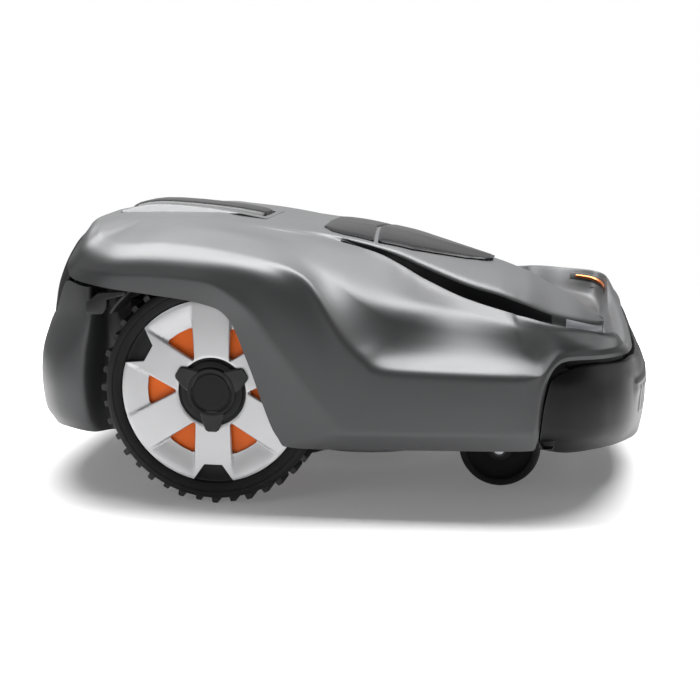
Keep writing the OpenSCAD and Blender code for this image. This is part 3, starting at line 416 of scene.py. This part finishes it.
def column(lines, soft, u, fillet=4, flat=3):
    """A section across the lines at u: points, and where each is counted in CAD rows."""
    p = [on_line(line, u) for line in lines]
    points, rows = [p[0]], [0.0]
    last_point, last_row = p[0], 0.0
    for i in range(1, len(p)):
        inner = i < len(p) - 1
        start = p[i] + soft[i] * (p[i - 1] - p[i]) if inner else p[i]
        row = 2 * i - 1
        for k in range(1, flat + 1):
            t = k / flat
            points.append(last_point + t * (start - last_point))
            rows.append(last_row + t * (row - last_row))
        if not inner:
            break
        end = p[i] + soft[i] * (p[i + 1] - p[i])
        for k in range(1, fillet + 1):
            t = k / fillet
            points.append((1 - t) ** 2 * start + 2 * t * (1 - t) * p[i] + t * t * end)
            rows.append(row + t)
        last_point, last_row = end, row + 1
    return np.array(points), np.array(rows)


def grid(lines, soft, u0, u1, steps, fillet=4, flat=3):
    us = [u0 + (u1 - u0) * k / steps for k in range(steps + 1)]
    sections = [column(lines, soft, u, fillet, flat) for u in us]
    return np.array([s[0] for s in sections]), sections[0][1]


def outward(g):
    """Unit directions that look out of a grid of points."""
    a, b = np.gradient(g, axis=0), np.gradient(g, axis=1)
    n = np.cross(b, a)
    return n / np.maximum(np.linalg.norm(n, axis=2, keepdims=True), 1e-9)


def spacing(g):
    """Distance from each point of a grid to its nearest neighbour."""
    d = np.full(g.shape[:2], 1e3)
    along = np.linalg.norm(g[1:] - g[:-1], axis=2)
    across = np.linalg.norm(g[:, 1:] - g[:, :-1], axis=2)
    d[1:] = np.minimum(d[1:], along)
    d[:-1] = np.minimum(d[:-1], along)
    d[:, 1:] = np.minimum(d[:, 1:], across)
    d[:, :-1] = np.minimum(d[:, :-1], across)
    return d


def on_centre(g, like):
    """Keeps points that belong on the centre plane there."""
    g[..., 1] = np.where(like[..., 1] < 0.01, 0, g[..., 1])
    return g


def inner_skin(lines, soft, u0, u1, steps, coarse_steps, g, rows, wall):
    """The grid moved inwards by the wall, thinner where the CAD rows run close together."""
    rough, _ = grid(lines, soft, u0, u1, coarse_steps, 1, 1)
    move = -np.minimum(wall, 0.35 * spacing(rough))[..., None] * outward(rough)
    at = np.linspace(0, coarse_steps, steps + 1)
    across = np.array([[np.interp(rows, np.arange(rough.shape[1]), move[i, :, k]) for k in range(3)]
                       for i in range(coarse_steps + 1)])
    full = np.empty_like(g)
    for k in range(3):
        for j in range(g.shape[1]):
            full[:, j, k] = np.interp(at, np.arange(coarse_steps + 1), across[:, k, j])
    return on_centre(g + full, g)


def right_side(g):
    """Turns distances to the side into y, for the half of the body at negative y."""
    q = g.copy()
    q[..., 1] *= -1
    return q


def shell(name, node, lines, soft, u1, steps, coarse_steps, wall=2.6, relief=None, **options):
    g, rows = grid(lines, soft, 0, u1, steps, **options)
    inner = inner_skin(lines, soft, 0, u1, steps, coarse_steps, g, rows, wall)
    if relief is not None:
        us = np.linspace(0, u1, steps + 1)
        lift = np.array([[relief(u, row) for row in rows] for u in us])
        g = on_centre(g + lift[..., None] * outward(g), g)
    verts, faces = closed_shell(right_side(g), right_side(inner))
    verts, faces = whole(verts, drop_centre(verts, faces))
    return piece(name, verts, faces, node, merge=WELD)


def drop_centre(verts, faces):
    """Leaves out faces that lie in the centre plane, where the two halves join."""
    return [f for f in faces if any(abs(verts[i][1]) > 0.01 for i in f)]


# Half outline of the opening in the hood, under the window and the hatch.
WELL = [(54, 62), (110, 50), (150, 32), (166, 20), (168, 9), (181, 9)]
cover = shell("cover_shell", "top_cover", COVER_LINES, COVER_SOFT, 22, 176, 44)
cut(cover, [(x, y) for x, y in WELL] + [(x, -y) for x, y in WELL[::-1]], 220, 300)
cut(cover, rectangle(-268, -98, 33), 280, 320)
cover.data.set_sharp_from_angle(angle=math.radians(36))
shell("rear_shell", "rear_cover", REAR_LINES, REAR_SOFT, 6, 72, 18)
shell("rear_centre", "rear_panel", PANEL_LINES, PANEL_SOFT, 3, 36, 12)


def step_up(t, start, end):
    """Rises smoothly from 0 to 1 between start and end."""
    s = min(max((t - start) / (end - start), 0), 1)
    return s * s * (3 - 2 * s)


def bumper_relief(u, row):
    """A raised bar across the front with grooves beside its ends."""
    bar = step_up(u, 3.0, 3.25) * step_up(row, 3.6, 4.0) * (1 - step_up(row, 5.0, 5.4))
    groove = sum(max(0, 1 - abs(u - at) / 0.06) for at in (3.45, 3.7, 3.95))
    return 2.2 * bar - 2.0 * groove * step_up(row, 2.6, 3.0) * (1 - step_up(row, 4.4, 4.8))


shell("bumper_shell", "bumper", BUMPER_LINES, BUMPER_SOFT, 5, 160, 20, relief=bumper_relief, flat=8)


def strip(name, node, u0, u1, row0, row1, lift, wall, ribs=0):
    """A plate over a band of the cover; ribs gives the number of flutes across a lens."""
    steps = int((u1 - u0) * 10)
    g, rows = grid(COVER_LINES, COVER_SOFT, u0, u1, steps)
    keep = np.flatnonzero((rows >= row0) & (rows <= row1))
    band = g[:, keep]
    n = outward(band)
    edge = np.ones(band.shape[:2])
    edge[0], edge[-1], edge[:, 0], edge[:, -1] = 0.35, 0.35, 0.35, 0.35
    height = lift + wall * edge
    if ribs:
        waves = np.sin(np.linspace(0, ribs * math.pi, steps + 1)) ** 2
        height = height - 0.35 * waves[:, None]
    verts, faces = closed_shell(right_side(band + height[..., None] * n), right_side(band + lift * n))
    piece(name + "_right", verts, faces, node + "_right", merge=WELD)
    piece(name + "_left", mirrored(verts), faces, node + "_left", merge=WELD)


strip("hood_strip", "hood_trim", 9, 17, 17, 19, 0.3, 1.6)
strip("lens_cover", "headlight", 17.5, 20.5, 17, 19, 0.3, 1.6, ribs=11)


def contact_strip():
    """Copper strip under the rim of a front wing, in a shallow dark holder."""
    us = np.linspace(17.5, 19, 25)
    ends = [(on_line(RIM, u), on_line(FLOOR, u)) for u in us]
    plate = np.array([[a + t * (b - a) for t in (0.24, 0.27, 0.30, 0.33, 0.36)] for a, b in ends])
    n = outward(plate)
    crown = np.array([0.2, 1.0, 1.15, 1.0, 0.2])[None, :, None]
    verts, faces = closed_shell(right_side(plate + (0.6 + 1.5 * crown) * n), right_side(plate + 0.6 * n))
    piece("contact_right", verts, faces, "charging_contact_right", merge=WELD)
    piece("contact_left", mirrored(verts), faces, "charging_contact_left", merge=WELD)
    us = np.linspace(17.35, 19.15, 29)
    ends = [(on_line(RIM, u), on_line(FLOOR, u)) for u in us]
    back = np.array([[a + t * (b - a) for t in (0.17, 0.21, 0.39, 0.43)] for a, b in ends])
    n = outward(back)
    crown = np.array([0.1, 1.0, 1.0, 0.1])[None, :, None]
    verts, faces = closed_shell(right_side(back + (0.1 + 0.6 * crown) * n), right_side(back + 0.05 * n))
    for side, points in (("right", verts), ("left", mirrored(verts))):
        piece("contact_holder_" + side, points, faces, "charging_contact_" + side, slot="black_plastic",
              merge=WELD, stand_in=False)


contact_strip()


# ----------------------------------------------------- plates over the hood
def hood_point(u, w):
    points, rows = column(COVER_LINES, COVER_SOFT, u)
    top = points[rows >= 19.9][::-1]
    return np.array([np.interp(w, top[:, 1], top[:, 0]), w, np.interp(w, top[:, 1], top[:, 2])])


def hood_plate(name, node, widths, u0, u1, steps, lift, wall, across=14, seam=None):
    """A crowned plate that follows the hood. seam is a u where a shallow groove runs across."""
    table = np.array(widths, float)
    us = np.linspace(u0, u1, steps + 1)
    g = np.array([[hood_point(u, np.interp(u, table[:, 0], table[:, 1]) * (1 - k / across))
                   for k in range(across + 1)] for u in us])
    n = outward(g)
    edge = np.ones(g.shape[:2])
    edge[0], edge[-1], edge[:, 0] = 0.3, 0.3, 0.3
    edge[1], edge[-2], edge[:, 1] = 0.85, 0.85, 0.85
    height = lift + wall * edge
    if seam is not None:
        height = height - 0.7 * np.maximum(0, 1 - abs(us - seam) / 0.05)[:, None]
    outer = on_centre(g + height[..., None] * n, g)
    inner = on_centre(g + lift * n, g)
    verts, faces = closed_shell(right_side(outer), right_side(inner))
    verts, faces = whole(verts, drop_centre(verts, faces))
    return piece(name, verts, faces, node, merge=WELD)


WINDOW_WIDTHS = [(8.5, 62), (8.7, 84), (9, 92), (9.86, 93)]
HATCH_WIDTHS = [(10, 93), (11.4, 86), (12.2, 70), (13, 46), (13.45, 26), (13.6, 13)]
hood_plate("status_dome", "status_window", WINDOW_WIDTHS, 8.5, 9.86, 40, 0.4, 2.0)
hood_plate("hatch_lid", "hatch", HATCH_WIDTHS, 10, 13.6, 72, 0.9, 2.4)


def stop_bar():
    """A long domed button with rounded corners, falling away towards its sides and its ends."""
    lo, hi = [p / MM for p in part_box("stop_button")]
    crest = np.array([(0, 303), (0.054, 307), (0.125, 309.6), (0.2, 311), (0.31, 311), (0.476, 309.4),
                      (0.65, 306.8), (0.82, 303.4), (1, 298)])
    half = (hi.y - lo.y) / 2
    length = hi.x - lo.x
    ts = (1 - np.cos(np.linspace(0, math.pi, 61))) / 2
    across = np.sin(np.linspace(-math.pi / 2, math.pi / 2, 33))
    rows = []
    for t in ts:
        end = min(t, 1 - t) * length
        corner = 12 - math.sqrt(max(0, 144 - (12 - min(end, 12)) ** 2))
        w = half - corner
        top = np.interp(t, crest[:, 0], crest[:, 1])
        drop = 5.0 * abs(across) ** 6 + 0.8 * (1 - min(end, 8) / 8)
        rows.append([(lo.x + t * length, w * a, top - d) for a, d in zip(across, drop)])
    outer = np.array(rows)
    inner = outer.copy()
    inner[..., 2] = lo.z
    verts, faces = closed_shell(outer, inner)
    piece("stop_bar", verts, faces, "stop_button", merge=0.01, sharp=40)


def stop_surround():
    """Painted collar round the stop button, which falls to the deck at its front."""
    lo, hi = [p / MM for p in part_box("stop_button")]
    crest = np.array([(-272, 297), (-270, 300), (-258, 303.5), (-246, 305.6), (-233, 307), (-215, 307),
                      (-187, 305.4), (-158, 302.8), (-129, 299), (-92, 292)])
    xs = np.linspace(crest[0, 0], crest[-1, 0], 73)
    ws = np.linspace(-54, 54, 55)
    shoulder = 309 - 0.69 * np.maximum(abs(ws) - 38, 0)
    ridge = np.interp(xs, crest[:, 0], crest[:, 1])
    outer = np.array([[(x, w, min(high, side)) for w, side in zip(ws, shoulder)]
                      for x, high in zip(xs, ridge)])
    inner = outer.copy()
    inner[..., 2] = 289
    verts, faces = closed_shell(outer, inner)
    obj = piece("stop_surround", verts, faces, "top_cover", stand_in=False)
    reach = (hi.y - lo.y) / 2 + 1
    cut(obj, rectangle(lo.x - 1, hi.x + 1, reach), 280, 330)
    obj.data.shade_smooth()
    obj.data.set_sharp_from_angle(angle=math.radians(30))


stop_bar()
stop_surround()


def dark_sheet(name, rows, thick=1.2):
    """A thin dark sheet through rows of points on the right side, and its mirror image: painted shade behind
    a gap or seam.
    """
    g = on_centre(np.array(rows), np.array(rows))
    inner = on_centre(g - thick * outward(g), g)
    verts, faces = closed_shell(right_side(g), right_side(inner))
    verts, faces = whole(verts, drop_centre(verts, faces))
    piece(name, verts, faces, "rear_panel", slot="dark_panel", merge=WELD, stand_in=False)


def gap_shade_sheet():
    """Dark sheet behind the gap between the cover and the bumper: painted shade that makes the gap look
    black.
    """
    rows = []
    for u in np.linspace(14.0, 22, 97):
        edge, wall = on_line(EDGE, u), on_line(WALL, u)
        inwards = 9 * step_up(u, 13.5, 14.5)
        lean = step_up(u, 17.0, 20.0)
        shift = np.array([-inwards * lean, -inwards * (1 - 0.8 * lean) * min(edge[1] / 60, 1), 0])
        along = 1 - step_up(u, 16.0, 17.4)
        beyond = np.array([along, 0, along - 1])
        rows.append([wall + shift - beyond, (edge + wall) / 2 + shift, edge + shift + 9 * beyond,
                     edge + shift + 19 * beyond])
    dark_sheet("gap_shade_sheet", rows)


# Painted shade: a dark sheet behind the gap at the front of the cover.
gap_shade_sheet()


def seam_shade_backing():
    """Dark sheet behind the rear panel that closes the view through its seams: painted shade in the seams."""
    rows = []
    for u in np.linspace(0, 3, 25):
        low, middle, high = [on_line(PANEL_LINES[k], u) for k in (0, 2, 4)]
        inwards = np.array([5, -4 * min(low[1] / 60, 1), 0])
        below = inwards + [0, 0, -5]
        rows.append([low + inwards + [0, 0, -9], low + inwards, middle + below, high + below,
                     high + below + [9, 0, 0]])
    dark_sheet("seam_shade_backing", rows)


# Painted shade: a dark sheet that darkens the seams round the rear panel.
seam_shade_backing()


def liner_bracket(side):
    """Black bracket at the back of the wheel arch."""
    sign = -1 if side == "right" else 1
    outline = [(-244, 221), (-236, 228), (-205, 231), (-205, 226), (-226, 221), (-226, 212), (-231, 205),
               (-247, 204), (-250, 208), (-249, 219)]
    verts = [(x, sign * w, z) for w in (256, 246) for x, z in outline]
    obj = piece("liner_bracket_" + side, verts, stack_faces(len(outline), 2), "wheel_liner_" + side,
                stand_in=False)
    bevelled(obj, 1.2)


liner_bracket("right")
liner_bracket("left")


# -------------------------------------------------------------- round pieces
def lathe(profile, steps, capped=False):
    """Points and faces of an outline of [radius, depth] turned about the axis.

    A capped one is solid: flat faces close its first and last rings.
    """
    verts, faces = [], []
    n = len(profile)
    for k in range(steps):
        a = 2 * math.pi * k / steps
        verts += [(r * math.cos(a), r * math.sin(a), z) for r, z in profile]
        for i in range(n - 1 if capped else n):
            j = (i + 1) % n
            other = (k + 1) % steps
            faces.append((k * n + i, other * n + i, other * n + j, k * n + j))
    if capped:
        faces.append(tuple(k * n for k in range(steps)))
        faces.append(tuple(k * n + n - 1 for k in range(steps - 1, -1, -1)))
    return verts, faces


def polar(r, degrees):
    return r * math.cos(math.radians(degrees)), r * math.sin(math.radians(degrees))


def turned(points, degrees):
    c, s = math.cos(math.radians(degrees)), math.sin(math.radians(degrees))
    return [(x * c - y * s, x * s + y * c, *rest) for x, y, *rest in points]


class Wheel:
    """Places points of the wheel frame: z runs inwards from the outer tyre face, y down."""

    def __init__(self, side):
        lo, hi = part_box("tyre_" + side)
        self.side = side
        self.x = (lo.x + hi.x) / 2 / MM
        self.z = (lo.z + hi.z) / 2 / MM
        self.face = (lo.y if side == "right" else hi.y) / MM
        self.inwards = 1 if side == "right" else -1

    def place(self, verts):
        return [(self.x + x, self.face + self.inwards * z, self.z - y) for x, y, z in verts]


LUGS = 40
LOBES = (90, 210, 330)
TREAD_R = 119.0
TYRE_R = 125.0
TRIM_R = 99.5


def tyre(wheel):
    """Carcass with a ribbed side wall and a ring of tapered lugs on each shoulder."""
    profile = [(97, 6.2), (99.9, 6.2), (100.5, 3), (102, 1.2), (104, 0.4), (106, 0), (109, 0), (109.6, 0.5),
               (110.4, 0.5), (111, 0), (113, 0.2), (116, 2), (118.2, 4.5), (TREAD_R, 8), (TREAD_R, 20),
               (TREAD_R, 32), (TREAD_R, 44), (118.2, 47.5), (116, 50), (113, 52), (104, 52), (100, 52),
               (97, 48), (97, 27)]
    verts, faces = lathe(profile, 144)
    for k in range(LUGS):
        near, far = (6, 42) if k % 2 == 0 else (10, 46)
        faces += stack_faces(4, 3, len(verts))
        verts += turned(lug_block(near, far), 360 * k / LUGS)
    return piece("tyre_rubber_" + wheel.side, wheel.place(verts), faces, "tyre_" + wheel.side, sharp=32)


def lug_block(near, far):
    """One lug: a bar across the tread, narrower at its crown, with chamfered ends."""
    low, high = TREAD_R - 2.5, TYRE_R
    foot = [(low, -4.0, near), (low, 4.0, near), (low, 4.0, far), (low, -4.0, far)]
    waist = [(high - 1.4, -3.2, near + 0.8), (high - 1.4, 3.2, near + 0.8), (high - 1.4, 3.2, far - 0.8),
             (high - 1.4, -3.2, far - 0.8)]
    crown = [(high - 0.05, -2.4, near + 2), (high - 0.05, 2.4, near + 2), (high - 0.05, 2.4, far - 2),
             (high - 0.05, -2.4, far - 2)]
    return foot + waist + crown


def recess(r, degrees):
    """Depth of the trim's face: six funnels that fall from the rim to their windows."""
    off = (degrees + 30) % 60 - 30
    x, y = r * math.cos(math.radians(off)), abs(r * math.sin(math.radians(off)))
    side = 2.6 + (x - 41.5) * 0.53
    inside = step_up(side - y, 0, 2.4)
    fall = 4.5 * (1 - step_up(x, 66, 98)) + 0.2
    near = step_up(x, 39.0, 41.5)
    return inside * near * fall


def trim(wheel):
    """Silver wheel trim: a dished disc with funnels, windows, notches and a stepped bore."""
    radii = [37.3, 38, 39.2] + [40.4 + 1.36 * k for k in range(42)] + [98, 98.9, TRIM_R]
    steps = 360
    front, back = [], []
    for r in radii:
        round_off = 0.7 * step_up(r, 97.4, TRIM_R) + 0.6 * (1 - step_up(r, 37.3, 39.2))
        dish = 0.5 * math.sin(math.pi * (r - 37) / 64)
        ring = [(r, 360 * k / steps) for k in range(steps)]
        front.append([(*polar(r, a), 1.0 - dish + round_off + recess(r, a)) for r, a in ring])
        back.append([(*polar(r, a), 6.0) for r, a in ring])
    verts = [p for ring in front for p in ring] + [p for ring in back[::-1] for p in ring]
    rings = 2 * len(radii)
    faces = [(i * steps + k, i * steps + (k + 1) % steps, (i + 1) % rings * steps + (k + 1) % steps,
              (i + 1) % rings * steps + k) for i in range(rings) for k in range(steps)]
    obj = piece("trim_disc_" + wheel.side, verts, faces, "wheel_trim_" + wheel.side)
    window = [(41.5, -2), (69, -16), (71, -13), (72, 0), (71, 13), (69, 16), (41.5, 2)]
    notch = [(80, -10), (104, -26.9), (104, 26.9), (80, 10)]
    for k in range(6):
        cut(obj, turned(window, 60 * k), -5, 12)
    for a in LOBES:
        cut(obj, turned(notch, a), -5, 12)
    for vertex in obj.data.vertices:
        vertex.co = Vector(wheel.place([tuple(vertex.co / MM)])[0]) * MM
    tidy(obj.data, 0)
    obj.data.shade_smooth()
    obj.data.set_sharp_from_angle(angle=math.radians(40))
    return obj


def hub_cover(wheel):
    """Hub cap: stepped round face with a grooved ring, and three chamfered lobes."""
    face = [(12, -2.3), (19.5, -2.3), (20.2, -1.6), (21.4, -1.6), (22, -2.3), (23.6, -2.9), (25, -2.9),
            (25.9, -2.4), (26.4, -1), (27.4, -0.2), (31.5, -0.2), (32.9, 0.2), (33.7, 1.2), (33.8, 3.4),
            (36.8, 3.6), (37.1, 4), (37.1, 8.9), (12, 8.9)]
    verts, faces = lathe(face, 96, capped=True)
    half = [(21, 13), (28, 12.4), (41.5, 7.2), (43.4, 4.6)]
    lobe = [(x, -y) for x, y in half] + half[::-1]
    top = [(x * 0.985 + 0.2, y * 0.84) for x, y in lobe]
    block = [(*p, 0.8) for p in lobe] + [(*p, -1.2) for p in lobe] + [(*p, -2.4) for p in top]
    for a in LOBES:
        faces += stack_faces(len(lobe), 3, len(verts))
        verts += turned(block, a)
    return piece("hub_cover_" + wheel.side, wheel.place(verts), faces, "hub_cap_" + wheel.side, sharp=28)


def rim_ring(wheel):
    """Black ring between the trim and the rim, seen through the notches."""
    profile = [(76, 6.1), (96.8, 6.1), (98.6, 5.2), (99.7, 5.2), (99.7, 6.1), (97, 6.2), (97, 8.9), (76, 8.9)]
    verts, faces = lathe(profile, 120)
    piece("rim_ring_" + wheel.side, wheel.place(verts), faces, "tyre_" + wheel.side, stand_in=False)


for wheel in (Wheel("right"), Wheel("left")):
    rim_ring(wheel)
    tyre(wheel)
    trim(wheel)
    hub_cover(wheel)


def caster_wheel(side):
    """Solid caster wheel with a rounded tread, a dished web and a raised hub."""
    lo, hi = [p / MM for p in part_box("caster_wheel_" + side)]
    r = (hi.z - lo.z) / 2
    w = (hi.y - lo.y) / 2
    half = [(4.08, w), (13.5, w), (15.5, w - 1), (17, w - 3.6), (20, w - 4), (r - 13, w - 4),
            (r - 10.5, w - 2.6), (r - 9, w - 0.4), (r - 7.5, w), (r - 5, w - 0.2), (r - 2.6, w - 2),
            (r - 0.9, w - 5), (r, w - 9)]
    profile = half + [(a, -b) for a, b in half[::-1]]
    verts, faces = lathe(profile, 96)
    cx, cy, cz = (lo.x + hi.x) / 2, (lo.y + hi.y) / 2, (lo.z + hi.z) / 2
    piece("caster_tread_" + side, [(cx + x, cy + z, cz + y) for x, y, z in verts], faces,
          "caster_wheel_" + side, sharp=30)


caster_wheel("right")
caster_wheel("left")

# -------------------------------------------------------- camera and studio
bpy.context.scene.view_settings.view_transform = "Standard"
TARGET = Vector((0, 0, 0.1263))
DISTANCE = 1.8
AZIMUTH = math.radians(8.75)
ELEVATION = math.radians(10.3)
towards_camera = Vector((math.sin(AZIMUTH) * math.cos(ELEVATION),
                         -math.cos(AZIMUTH) * math.cos(ELEVATION), math.sin(ELEVATION)))
camera = bpy.data.objects.new("camera", bpy.data.cameras.new("camera"))
bpy.context.scene.collection.objects.link(camera)
camera.data.lens = 74.9
camera.data.sensor_width = 36
camera.location = TARGET + DISTANCE * towards_camera
camera.rotation_euler = (-towards_camera).to_track_quat("-Z", "Y").to_euler()
bpy.context.scene.camera = camera


def panel_light(name, place, aim, size, watts):
    light = bpy.data.lights.new(name, "AREA")
    light.shape = "RECTANGLE"
    light.size, light.size_y = size
    light.energy = watts
    obj = bpy.data.objects.new(name, light)
    bpy.context.scene.collection.objects.link(obj)
    obj.location = place
    obj.rotation_euler = (Vector(aim) - Vector(place)).to_track_quat("-Z", "Y").to_euler()
    obj.visible_camera = False
    return obj


panel_light("overhead", (0.0, 0.45, 1.75), aim=(0, 0.2, 0.1), size=(2.8, 1.3), watts=140)
panel_light("behind", (0.2, 2.6, 0.9), aim=(0, 0, 0.3), size=(4.5, 1.5), watts=10)
panel_light("front_fill", (-1.4, -2.4, 1.3), aim=(0, 0, 0.15), size=(1.4, 1.0), watts=8)


def studio_floor():
    """Pale floor that fades out into the white surroundings."""
    size, cells = 3.0, 24
    verts = [(size * (2 * i / cells - 1), size * (2 * j / cells - 1), 0)
             for j in range(cells + 1) for i in range(cells + 1)]
    mesh = bpy.data.meshes.new("studio_floor")
    mesh.from_pydata(verts, [], grid_faces(cells + 1, cells + 1, 0))
    obj = bpy.data.objects.new("studio_floor", mesh)
    bpy.context.scene.collection.objects.link(obj)
    mat = bpy.data.materials.new("studio_floor")
    mat.use_nodes = True
    tree = mat.node_tree
    shader = tree.nodes["Principled BSDF"]
    shader.inputs["Base Color"].default_value = (0.86, 0.86, 0.86, 1)
    shader.inputs["Roughness"].default_value = 0.6
    shader.inputs["Emission Color"].default_value = (1, 1, 1, 1)
    shader.inputs["Emission Strength"].default_value = 0.15
    place = tree.nodes.new("ShaderNodeTexCoord")
    far = tree.nodes.new("ShaderNodeVectorMath")
    far.operation = "LENGTH"
    tree.links.new(place.outputs["Object"], far.inputs[0])
    fade = tree.nodes.new("ShaderNodeMapRange")
    fade.interpolation_type = "SMOOTHSTEP"
    fade.inputs["From Min"].default_value = 0.75
    fade.inputs["From Max"].default_value = 1.6
    fade.inputs["To Min"].default_value = 1
    fade.inputs["To Max"].default_value = 0
    tree.links.new(far.outputs["Value"], fade.inputs["Value"])
    tree.links.new(fade.outputs["Result"], shader.inputs["Alpha"])
    mesh.materials.append(mat)


studio_floor()


def surroundings():
    """White to the camera, and a weaker even light on the object."""
    world = bpy.data.worlds.new("surroundings")
    bpy.context.scene.world = world
    world.use_nodes = True
    tree = world.node_tree
    shown = tree.nodes["Background"]
    shown.inputs["Color"].default_value = (1, 1, 1, 1)
    shown.inputs["Strength"].default_value = 1.0
    lighting = tree.nodes.new("ShaderNodeBackground")
    lighting.inputs["Color"].default_value = (1, 1, 1, 1)
    lighting.inputs["Strength"].default_value = 0.11
    path = tree.nodes.new("ShaderNodeLightPath")
    mix = tree.nodes.new("ShaderNodeMixShader")
    tree.links.new(path.outputs["Is Camera Ray"], mix.inputs["Fac"])
    tree.links.new(lighting.outputs["Background"], mix.inputs[1])
    tree.links.new(shown.outputs["Background"], mix.inputs[2])
    tree.links.new(mix.outputs["Shader"], tree.nodes["World Output"].inputs["Surface"])


surroundings()
